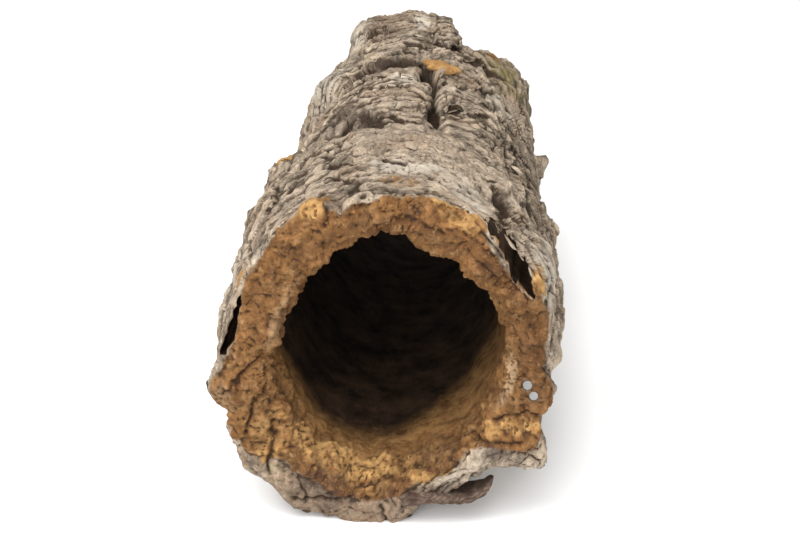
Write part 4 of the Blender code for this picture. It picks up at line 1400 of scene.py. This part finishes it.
def make_curled_flake(finish):
    """The curled flake under the rim: a slab along its path whose front shows layers, as grooves along it."""
    rings = slab_rings(CURLED_FLAKE, FLAKE_STEPS, FLAKE_SPOKES, 0.5, 99)
    middle = rings.mean(axis=1, keepdims=True)
    outwards = np.hypot(rings[..., 0] - AXIS_X, rings[..., 2] - AXIS_HEIGHT_MOUTH)
    height, size, seed = FLAKE_WAVES
    x, y, z = (rings[..., axis] / size for axis in range(3))
    layer = outwards / FLAKE_LAYER + height * lattice_noise(x, y, z, seed)
    front = smooth(4, -4, rings[..., 1] - middle[..., 1])
    groove = (0.5 - np.abs(np.mod(layer, 1) - 0.5)) * 2
    rings[..., 1] += FLAKE_GROOVE * front * (1 - groove)
    step = np.arange(FLAKE_STEPS)[:, None, None]
    taper = smooth(0, FLAKE_THINS, step) ** 0.5 * smooth(FLAKE_STEPS, FLAKE_STEPS - FLAKE_THINS, step) ** 0.5
    rings = middle + (rings - middle) * (0.15 + 0.85 * taper)
    points = capped_points(rings[None])
    hollow = np.concatenate((0.72 - 0.42 * groove.ravel(), (0.5, 0.5)))[None]
    faces = capped_faces(1, *rings.shape[:2])
    return mesh_object("curled_flake", points * MM, faces, {"hollow": hollow}, finish)


class Wire:
    """A socket that gives a number, with sums and products that add their Math nodes."""

    def __init__(self, finish, socket):
        self.finish = finish
        self.socket = socket

    def math(self, operation, *values):
        return self.finish.node("ShaderNodeMath", {"operation": operation}, dict(enumerate(values)))

    def __add__(self, other):
        return self.math("ADD", self, other)

    def __sub__(self, other):
        return self.math("SUBTRACT", self, other)

    def __rsub__(self, other):
        return self.math("SUBTRACT", other, self)

    def __mul__(self, other):
        return self.math("MULTIPLY", self, other)

    def __or__(self, other):
        return self.math("MAXIMUM", self, other)

    __radd__ = __add__
    __rmul__ = __mul__


class Finish:
    """A material and the nodes that feed its surface."""

    def __init__(self, name):
        self.material = bpy.data.materials.new(name)
        self.material.use_nodes = True
        self.nodes = self.material.node_tree.nodes
        self.surface = self.nodes["Principled BSDF"]

    def connect(self, socket, value):
        """Feeds a socket from a wire, or sets it to a number, a colour or a vector."""
        if isinstance(value, Wire):
            self.material.node_tree.links.new(value.socket, socket)
        else:
            socket.default_value = value

    def node(self, kind, settings=None, inputs=None, output=0):
        """Any node: its type, its settings, and the values or wires of its sockets. Gives one output's
        wire.
        """
        made = self.nodes.new(kind)
        for name, value in (settings or {}).items():
            if name == "stops":
                for extra in value[2:]:
                    made.color_ramp.elements.new(extra[0])
                for element, (position, colour) in zip(made.color_ramp.elements, value):
                    element.position = position
                    element.color = (*colour, 1.0)
            else:
                setattr(made, name, value)
        for socket, value in (inputs or {}).items():
            self.connect(made.inputs[socket], value)
        return Wire(self, made.outputs[output])

    def mix(self, share, first, second, blend="MIX"):
        """One colour mixed into another by a share from 0 to 1."""
        first, second = (c if isinstance(c, Wire) else (*c, 1.0) for c in (first, second))
        settings = {"data_type": "RGBA", "blend_type": blend, "clamp_factor": True}
        return self.node("ShaderNodeMix", settings, {0: share, 6: first, 7: second}, output=2)

    def mask(self, name):
        """A value that the mesh holds for each point."""
        return self.node("ShaderNodeAttribute", {"attribute_name": name}, output="Fac")

    def between(self, value, low, high):
        """0 on the low side, 1 on the high side, with a smooth rise between."""
        settings = {"interpolation_type": "SMOOTHSTEP"}
        return self.node("ShaderNodeMapRange", settings, {"Value": value, "From Min": low, "From Max": high})

    def places(self, stretch):
        """Object coordinates, with patterns made finer each way by the stretch."""
        coordinates = self.node("ShaderNodeTexCoord", output="Object")
        return self.node("ShaderNodeMapping", inputs={"Vector": coordinates, "Scale": stretch})

    def noise(self, size, detail=4.0, rough=0.6, stretch=(1, 1, 1), warp=0.0):
        """Cloudy noise from 0 to 1, whose largest spots have a size in millimetres."""
        inputs = {
            "Vector": self.places(stretch), "Scale": 1 / (size * MM), "Detail": detail,
            "Roughness": rough, "Distortion": warp,
        }
        return self.node("ShaderNodeTexNoise", inputs=inputs)

    def arcs(self, size, detail, rough, around):
        """Cloudy noise that follows the arcs of the bark: its spots have a size along the tube in
        millimetres, and are made finer round the tube by a share of that.
        """
        axes = self.node("ShaderNodeSeparateXYZ", inputs={"Vector": self.places((1, 1, 1))})
        upright = Wire(self, axes.socket.node.outputs["Z"])
        inputs = {"X": axes * around, "Y": self.mask("flow"), "Z": upright * around}
        vector = self.node("ShaderNodeCombineXYZ", inputs=inputs)
        inputs = {
            "Vector": vector, "Scale": 1 / (size * MM), "Detail": detail,
            "Roughness": rough, "Distortion": 0.3,
        }
        return self.node("ShaderNodeTexNoise", inputs=inputs)

    def ramp(self, value, *stops):
        """A colour for each value, read between stops of position and colour."""
        return self.node("ShaderNodeValToRGB", {"stops": stops}, {"Fac": value})

    def bumps(self, height, distance, under=None):
        """Small relief in the shading, in millimetres, on top of another such relief."""
        inputs = {"Height": height, "Distance": distance * MM}
        if under is not None:
            inputs["Normal"] = under
        return self.node("ShaderNodeBump", inputs=inputs)

    def set(self, **inputs):
        """Sets or feeds the sockets of the surface, named with _ for a blank."""
        for name, value in inputs.items():
            self.connect(self.surface.inputs[name.replace("_", " ")], value)
        return self.material


def shade(colour, share):
    """A colour made darker or lighter by a share, up to white."""
    return tuple(min(channel * share, 1.0) for channel in colour)


def bark_colour(finish, colours):
    """Weathered bark: warm greys in clouds, dark and pale arcs across the tube with fine stripes at right
    angles to them, specks, pale dust, dark brown in the cracks with painted shade in the seams and at the feet
    of the steps, and dark patches, some of them painted shade.
    """
    grey = colours.bark
    clouds = finish.noise(13, 8, 0.72, warp=0.4)
    colour = finish.ramp(
        clouds, (0.30, shade(grey, 0.22)), (0.42, shade(grey, 0.62)), (0.52, shade(grey, 1.05)),
        (0.62, shade(grey, 1.45)), (0.78, shade(grey, 1.95))
    )
    warm = finish.between(finish.noise(30, 3, 0.5), 0.48, 0.66)
    colour = finish.mix(warm * 0.45, colour, WARM_BARK)
    arcs = finish.arcs(2.4, 6, 0.65, 0.14)
    colour = finish.mix(finish.between(arcs, 0.45, 0.33) * 0.75, colour, DARK_ARC)
    colour = finish.mix(finish.between(arcs, 0.56, 0.70) * 0.4, colour, PALE_ARC)
    colour = finish.mix(finish.mask("brown") * 0.75, colour, BROWN_BARK)
    stripes = finish.arcs(9, 6, 0.7, 5.0)
    colour = finish.mix(finish.between(stripes, 0.46, 0.36) * 0.5, colour, DARK_STRIPE)
    specks = finish.between(finish.noise(1.8, 5, 0.8), 0.45, 0.36)
    colour = finish.mix(specks * 0.7, colour, BARK_SPECK)
    dust = finish.between(finish.noise(1.4, 5, 0.8), 0.56, 0.66)
    colour = finish.mix(dust * 0.45, colour, BARK_DUST)
    colour = finish.mix(finish.mask("pale") * 0.7, colour, PALE_BARK)
    moss = finish.mask("olive") * finish.between(finish.noise(7, 5, 0.7), 0.36, 0.56)
    colour = finish.mix(moss * 0.7, colour, OLIVE_BARK)
    # Dark brown in the cracks, with painted shade in the seams and at the feet of the steps
    colour = finish.mix(finish.between(finish.mask("seam"), 0.1, 0.95) * 0.9, colour, CRACK_BROWN_AND_SHADE)
    broken = finish.between(finish.noise(3.5, 6, 0.8), 0.38, 0.60) * 0.4 + 0.45
    # Dark patches: darker bark, and in some hollows painted shade
    return finish.mix(finish.mask("dark") * broken, colour, DARK_AND_SHADED_BARK)


def cork_colour(finish, colours):
    """Torn cork: browns and tans in clouds and faint rings, with dark red-brown specks, golden where it broke
    last.
    """
    tan = colours.cork
    clouds = finish.noise(10, 9, 0.74, warp=0.4)
    colour = finish.ramp(
        clouds, (0.28, shade(tan, 0.30)), (0.41, shade(tan, 0.66)), (0.52, tan), (0.63, shade(tan, 1.45)),
        (0.80, shade(tan, 2.0))
    )
    warm = finish.between(finish.noise(17, 4, 0.6), 0.47, 0.62)
    colour = finish.mix(warm * 0.25, colour, WARM_CORK)
    specks = finish.between(finish.noise(2.6, 6, 0.8), 0.44, 0.34)
    specks = specks * finish.between(finish.noise(11, 4), 0.46, 0.6)
    colour = finish.mix(specks * 0.45, colour, CORK_SPECK)
    dust = finish.between(finish.noise(4.5, 7, 0.8), 0.50, 0.64)
    colour = finish.mix(dust * 0.45, colour, CORK_DUST)
    shadow = finish.between(finish.noise(5, 7, 0.75, warp=0.8), 0.50, 0.36)
    colour = finish.mix(shadow * 0.65, colour, CORK_SHADOW)
    gold = colours.fresh
    fresh = finish.ramp(
        finish.noise(4, 7, 0.75), (0.32, RED_CORK), (0.46, shade(gold, 0.75)), (0.62, shade(gold, 1.15))
    )
    colour = finish.mix(finish.mask("fresh") * 0.8, colour, fresh)
    colour = finish.mix(finish.mask("pale") * 0.6, colour, PALE_CORK)
    broken = finish.between(finish.noise(3.5, 6, 0.8), 0.38, 0.60) * 0.4 + 0.5
    # Dark patches: darker cork, with painted shade along the inner rim and on the walls of the cuts
    colour = finish.mix(finish.mask("dark") * broken, colour, DARK_AND_SHADED_CORK)
    # Painted shade in the creases of the folds, and the dark of the rings, pits, splits and tears
    return finish.mix(finish.mask("seam") * 0.7, colour, CREASE_SHADE_AND_BROWN)


def cork_bark_finish(colours):
    """The skin of the tube: grey bark outside, torn cork on the rims, painted shade in the hollows and painted
    highlight on the ridges, and a bore painted lit near its ends and dark deeper in, partly with painted
    shade.
    Made once and shared.
    """
    made = bpy.data.materials.get("cork_bark")
    if made:
        return made
    finish = Finish("cork_bark")
    bark, cork = bark_colour(finish, colours), cork_colour(finish, colours)
    fresh = finish.between(finish.mask("fresh") + finish.noise(3, 4) * 0.5, 0.62, 0.82)
    colour = finish.mix(finish.mask("cork") | fresh, bark, cork)
    hollow = finish.mask("hollow")
    # Painted shade in the hollows, read from the hollowness of the mesh
    colour = finish.mix(finish.between(hollow, 0.55, 0.85) * 0.8, colour, HOLLOW_SHADE)
    # Painted highlight on the ridges, where the mesh is least hollow
    colour = finish.mix(finish.between(hollow, 0.42, 0.15) * 0.35, colour, RIDGE_HIGHLIGHT, "MULTIPLY")
    # The bore: painted lit and golden near its ends, and deeper in its dark brown, darkened further by painted
    # shade
    deep = finish.mask("inside")
    dark, light = shade(colours.bore, 0.6), shade(colours.bore, 4.5)
    brown = finish.ramp(finish.noise(14, 6, 0.65), (0.35, dark), (0.7, light))
    lit = finish.ramp(finish.noise(8, 8, 0.75), (0.36, BORE_SHADE), (0.62, PAINTED_LIT_BORE_TAN))
    colour = finish.mix(finish.between(deep, 0.12, 0.62), colour, lit)
    colour = finish.mix(finish.between(deep, 0.36, 0.78), colour, brown)
    relief = finish.bumps(finish.noise(1.1, 6, 0.75), 1.0)
    relief = finish.bumps(finish.arcs(1.6, 5, 0.7, 0.3), 0.9, under=relief)
    relief = finish.bumps(finish.arcs(7, 5, 0.7, 5.0), 0.6, under=relief)
    return finish.set(Base_Color=colour, Roughness=0.95, Normal=relief, Specular_IOR_Level=0.1)


def layered_bark_finish(colours):
    """The curled flake: purple-brown layers with grey edges."""
    finish = Finish("layered_bark")
    clouds = finish.noise(6, 6, 0.7)
    colour = finish.ramp(clouds, (0.3, FLAKE_DARK), (0.5, FLAKE_BROWN), (0.7, FLAKE_TAN))
    broken = finish.between(finish.noise(5, 5, 0.7, stretch=(0.5, 1, 1)), 0.42, 0.60)
    edges = finish.between(finish.mask("hollow"), 0.45, 0.22) * broken
    colour = finish.mix(edges * 0.7, colour, shade(colours.bark, 0.75))
    colour = finish.mix(finish.between(finish.mask("hollow"), 0.55, 0.75) * 0.8, colour, FLAKE_SEAM)
    relief = finish.bumps(finish.noise(1.5, 6, 0.7), 0.8)
    return finish.set(Base_Color=colour, Roughness=0.9, Normal=relief, Specular_IOR_Level=0.25)


def make_floor(studio):
    """A wide pale floor."""
    half = FLOOR_HALF
    corners = [(-half, -half, 0), (half, -half, 0), (half, half, 0), (-half, half, 0)]
    mesh = bpy.data.meshes.new("floor")
    mesh.from_pydata(corners, [], [(0, 1, 2, 3)])
    finish = Finish("pale_floor")
    mesh.materials.append(finish.set(Base_Color=(*studio.floor, 1.0), Roughness=0.9))
    floor = bpy.data.objects.new("floor", mesh)
    bpy.context.scene.collection.objects.link(floor)


def make_light(name, at, size, power):
    """A square soft light at a place, turned to the middle of the tube."""
    light = bpy.data.lights.new(name, "AREA")
    light.energy = power
    light.size = size
    made = bpy.data.objects.new(name, light)
    made.location = at
    made.rotation_euler = (Vector(LIT_POINT) - Vector(at)).to_track_quat("-Z", "Y").to_euler()
    bpy.context.scene.collection.objects.link(made)


def make_camera(studio):
    """The camera at the photograph's place, turned a little to the left and down."""
    yaw, pitch = studio.camera_turn, studio.camera_tilt
    camera = bpy.data.cameras.new("camera")
    camera.lens = studio.lens
    camera.sensor_width = SENSOR
    made = bpy.data.objects.new("camera", camera)
    made.location = CAMERA_PLACE
    ahead = Vector((math.sin(yaw) * math.cos(pitch), math.cos(yaw) * math.cos(pitch), -math.sin(pitch)))
    made.rotation_euler = ahead.to_track_quat("-Z", "Y").to_euler()
    bpy.context.scene.collection.objects.link(made)
    bpy.context.scene.camera = made


def make_world(strength):
    """An even, almost white light from all round."""
    world = bpy.data.worlds.new("studio")
    world.use_nodes = True
    background = world.node_tree.nodes["Background"]
    background.inputs["Color"].default_value = (1.0, 1.0, 1.0, 1.0)
    background.inputs["Strength"].default_value = strength
    bpy.context.scene.world = world
    bpy.context.scene.view_settings.view_transform = "Standard"


def colour_setting(name, description, colour):
    """A colour that can be changed, with its default."""
    return bpy.props.FloatVectorProperty(
        name=name, description=description, subtype="COLOR", default=colour, min=0, max=1
    )


class CorkTubeColours(bpy.types.PropertyGroup):
    """The colours of the bark and the cork."""

    bark: colour_setting("Bark", "The middle grey of the weathered bark", (0.39, 0.31, 0.228))
    cork: colour_setting("Torn cork", "The middle tan of the torn rims", (0.212, 0.106, 0.040))
    fresh: colour_setting("Fresh cork", "The gold of cork that broke last", (0.60, 0.355, 0.135))
    # Deep in the bore this dark brown is both the inside's own colour and painted shade
    bore: colour_setting("Bore", "The dark brown of the inside", (0.014, 0.0080, 0.0046))


class CorkTubeSizes(bpy.types.PropertyGroup):
    """How fine the pieces are and how many loose ones there are."""

    mouth_columns: bpy.props.IntProperty(
        name="Mouth columns", description="Steps round the tube at its mouth", default=660, min=60, max=680,
    )
    body_columns: bpy.props.IntProperty(
        name="Body columns", description="Steps round the other lengths of the tube",
        default=500, min=60, max=500,
    )
    chips: bpy.props.IntProperty(
        name="Chips", description="Loose chips that lie on the bark", default=36, min=0, max=1000
    )
    crumbs: bpy.props.IntProperty(
        name="Crumbs", description="Crumbs of cork in the torn rim", default=1500, min=0, max=3000
    )


class CorkTubeStudio(bpy.types.PropertyGroup):
    """The floor, the lights and the camera."""

    floor: colour_setting("Floor", "The colour of the floor", (0.92, 0.92, 0.915))
    key: bpy.props.FloatProperty(
        name="Key light", description="The power of the large light above", default=35, min=0, unit="POWER"
    )
    fill: bpy.props.FloatProperty(
        name="Fill light", description="The power of the light beside the camera",
        default=14, min=0, unit="POWER",
    )
    surround: bpy.props.FloatProperty(
        name="Surround", description="The strength of the light from all round", default=0.7, min=0, max=5
    )
    lens: bpy.props.FloatProperty(
        name="Lens", description="The focal length of the camera", default=80, min=20, max=200, unit="CAMERA"
    )
    camera_turn: bpy.props.FloatProperty(
        name="Turn", description="How far the camera is turned to the right", default=math.radians(-2.9),
        subtype="ANGLE",
    )
    camera_tilt: bpy.props.FloatProperty(
        name="Tilt", description="How far the camera looks down", default=math.radians(23), subtype="ANGLE"
    )


class CORK_OT_mouth(bpy.types.Operator):
    """Builds the mouth of the tube with its torn rim, crevice, flake gap and insect holes"""

    bl_idname = "cork.mouth"
    bl_label = "Mouth of the tube"

    def execute(self, context):
        finish = cork_bark_finish(context.scene.cork_colours)
        count = context.scene.cork_sizes.mouth_columns
        mouth = make_length(MOUTH, count, 0.0, MOUTH_ROWS, None, COLLAR_AT, finish)
        cut(mouth, make_cutter(finish))
        return {"FINISHED"}


class CORK_OT_body(bpy.types.Operator):
    """Builds the collar of thick bark, the two lobes and the far end of the tube"""

    bl_idname = "cork.body"
    bl_label = "Collar, lobes and far end"

    def execute(self, context):
        finish = cork_bark_finish(context.scene.cork_colours)
        count = context.scene.cork_sizes.body_columns
        make_length("tube_collar", count, BODY_CROWDING, COLLAR_ROWS, COLLAR_AT, LOBES_AT, finish)
        make_length("tube_lobes", count, BODY_CROWDING, LOBES_ROWS, LOBES_AT, FAR_END_AT, finish)
        make_length("tube_far_end", count, BODY_CROWDING, FAR_END_ROWS, FAR_END_AT, None, finish)
        return {"FINISHED"}


class CORK_OT_curled_flake(bpy.types.Operator):
    """Builds the curled flake under the rim"""

    bl_idname = "cork.curled_flake"
    bl_label = "Curled flake"

    def execute(self, context):
        make_curled_flake(layered_bark_finish(context.scene.cork_colours))
        return {"FINISHED"}


class CORK_OT_chips(bpy.types.Operator):
    """Scatters loose chips on the bark and sets the pieces of fresh cork that stand out"""

    bl_idname = "cork.chips"
    bl_label = "Loose chips"

    def execute(self, context):
        finish = cork_bark_finish(context.scene.cork_colours)
        make_chips(context.scene.cork_sizes.chips, finish)
        for piece in FRESH_PIECES:
            make_fresh_piece(*piece, finish)
        return {"FINISHED"}


class CORK_OT_crumbs(bpy.types.Operator):
    """Scatters crumbs of cork in the torn rim"""

    bl_idname = "cork.crumbs"
    bl_label = "Crumbs of cork"

    def execute(self, context):
        make_crumbs(context.scene.cork_sizes.crumbs, cork_bark_finish(context.scene.cork_colours))
        return {"FINISHED"}


class CORK_OT_stage(bpy.types.Operator):
    """Builds the floor, the lights, the surround and the camera"""

    bl_idname = "cork.stage"
    bl_label = "Stage"

    def execute(self, context):
        studio = context.scene.cork_studio
        make_floor(studio)
        make_light("key", KEY_PLACE, KEY_SIZE, studio.key)
        make_light("fill", FILL_PLACE, FILL_SIZE, studio.fill)
        make_world(studio.surround)
        make_camera(studio)
        return {"FINISHED"}


class CORK_PT_tube(bpy.types.Panel):
    """Lists the pieces of the cork bark tube and what can be changed"""

    bl_idname = "CORK_PT_tube"
    bl_label = "Cork Bark Tube"
    bl_space_type = "VIEW_3D"
    bl_region_type = "UI"
    bl_category = "Cork"

    def draw(self, context):
        for group in (context.scene.cork_colours, context.scene.cork_sizes, context.scene.cork_studio):
            box = self.layout.box()
            for name in group.__annotations__:
                box.prop(group, name)
        for operator in OPERATORS:
            self.layout.operator(operator.bl_idname)


OPERATORS = (
    CORK_OT_mouth, CORK_OT_body, CORK_OT_curled_flake, CORK_OT_chips, CORK_OT_crumbs, CORK_OT_stage,
)
GROUPS = {"cork_colours": CorkTubeColours, "cork_sizes": CorkTubeSizes, "cork_studio": CorkTubeStudio}


def register():
    for added in (*GROUPS.values(), *OPERATORS, CORK_PT_tube):
        bpy.utils.register_class(added)
    for name, group in GROUPS.items():
        setattr(bpy.types.Scene, name, bpy.props.PointerProperty(type=group))


def unregister():
    for name in GROUPS:
        delattr(bpy.types.Scene, name)
    for added in (CORK_PT_tube, *reversed(OPERATORS), *reversed(GROUPS.values())):
        bpy.utils.unregister_class(added)


def main():
    register()
    bpy.ops.cork.mouth()
    bpy.ops.cork.body()
    bpy.ops.cork.curled_flake()
    bpy.ops.cork.chips()
    bpy.ops.cork.crumbs()
    bpy.ops.cork.stage()


if __name__ == "__main__":
    main()
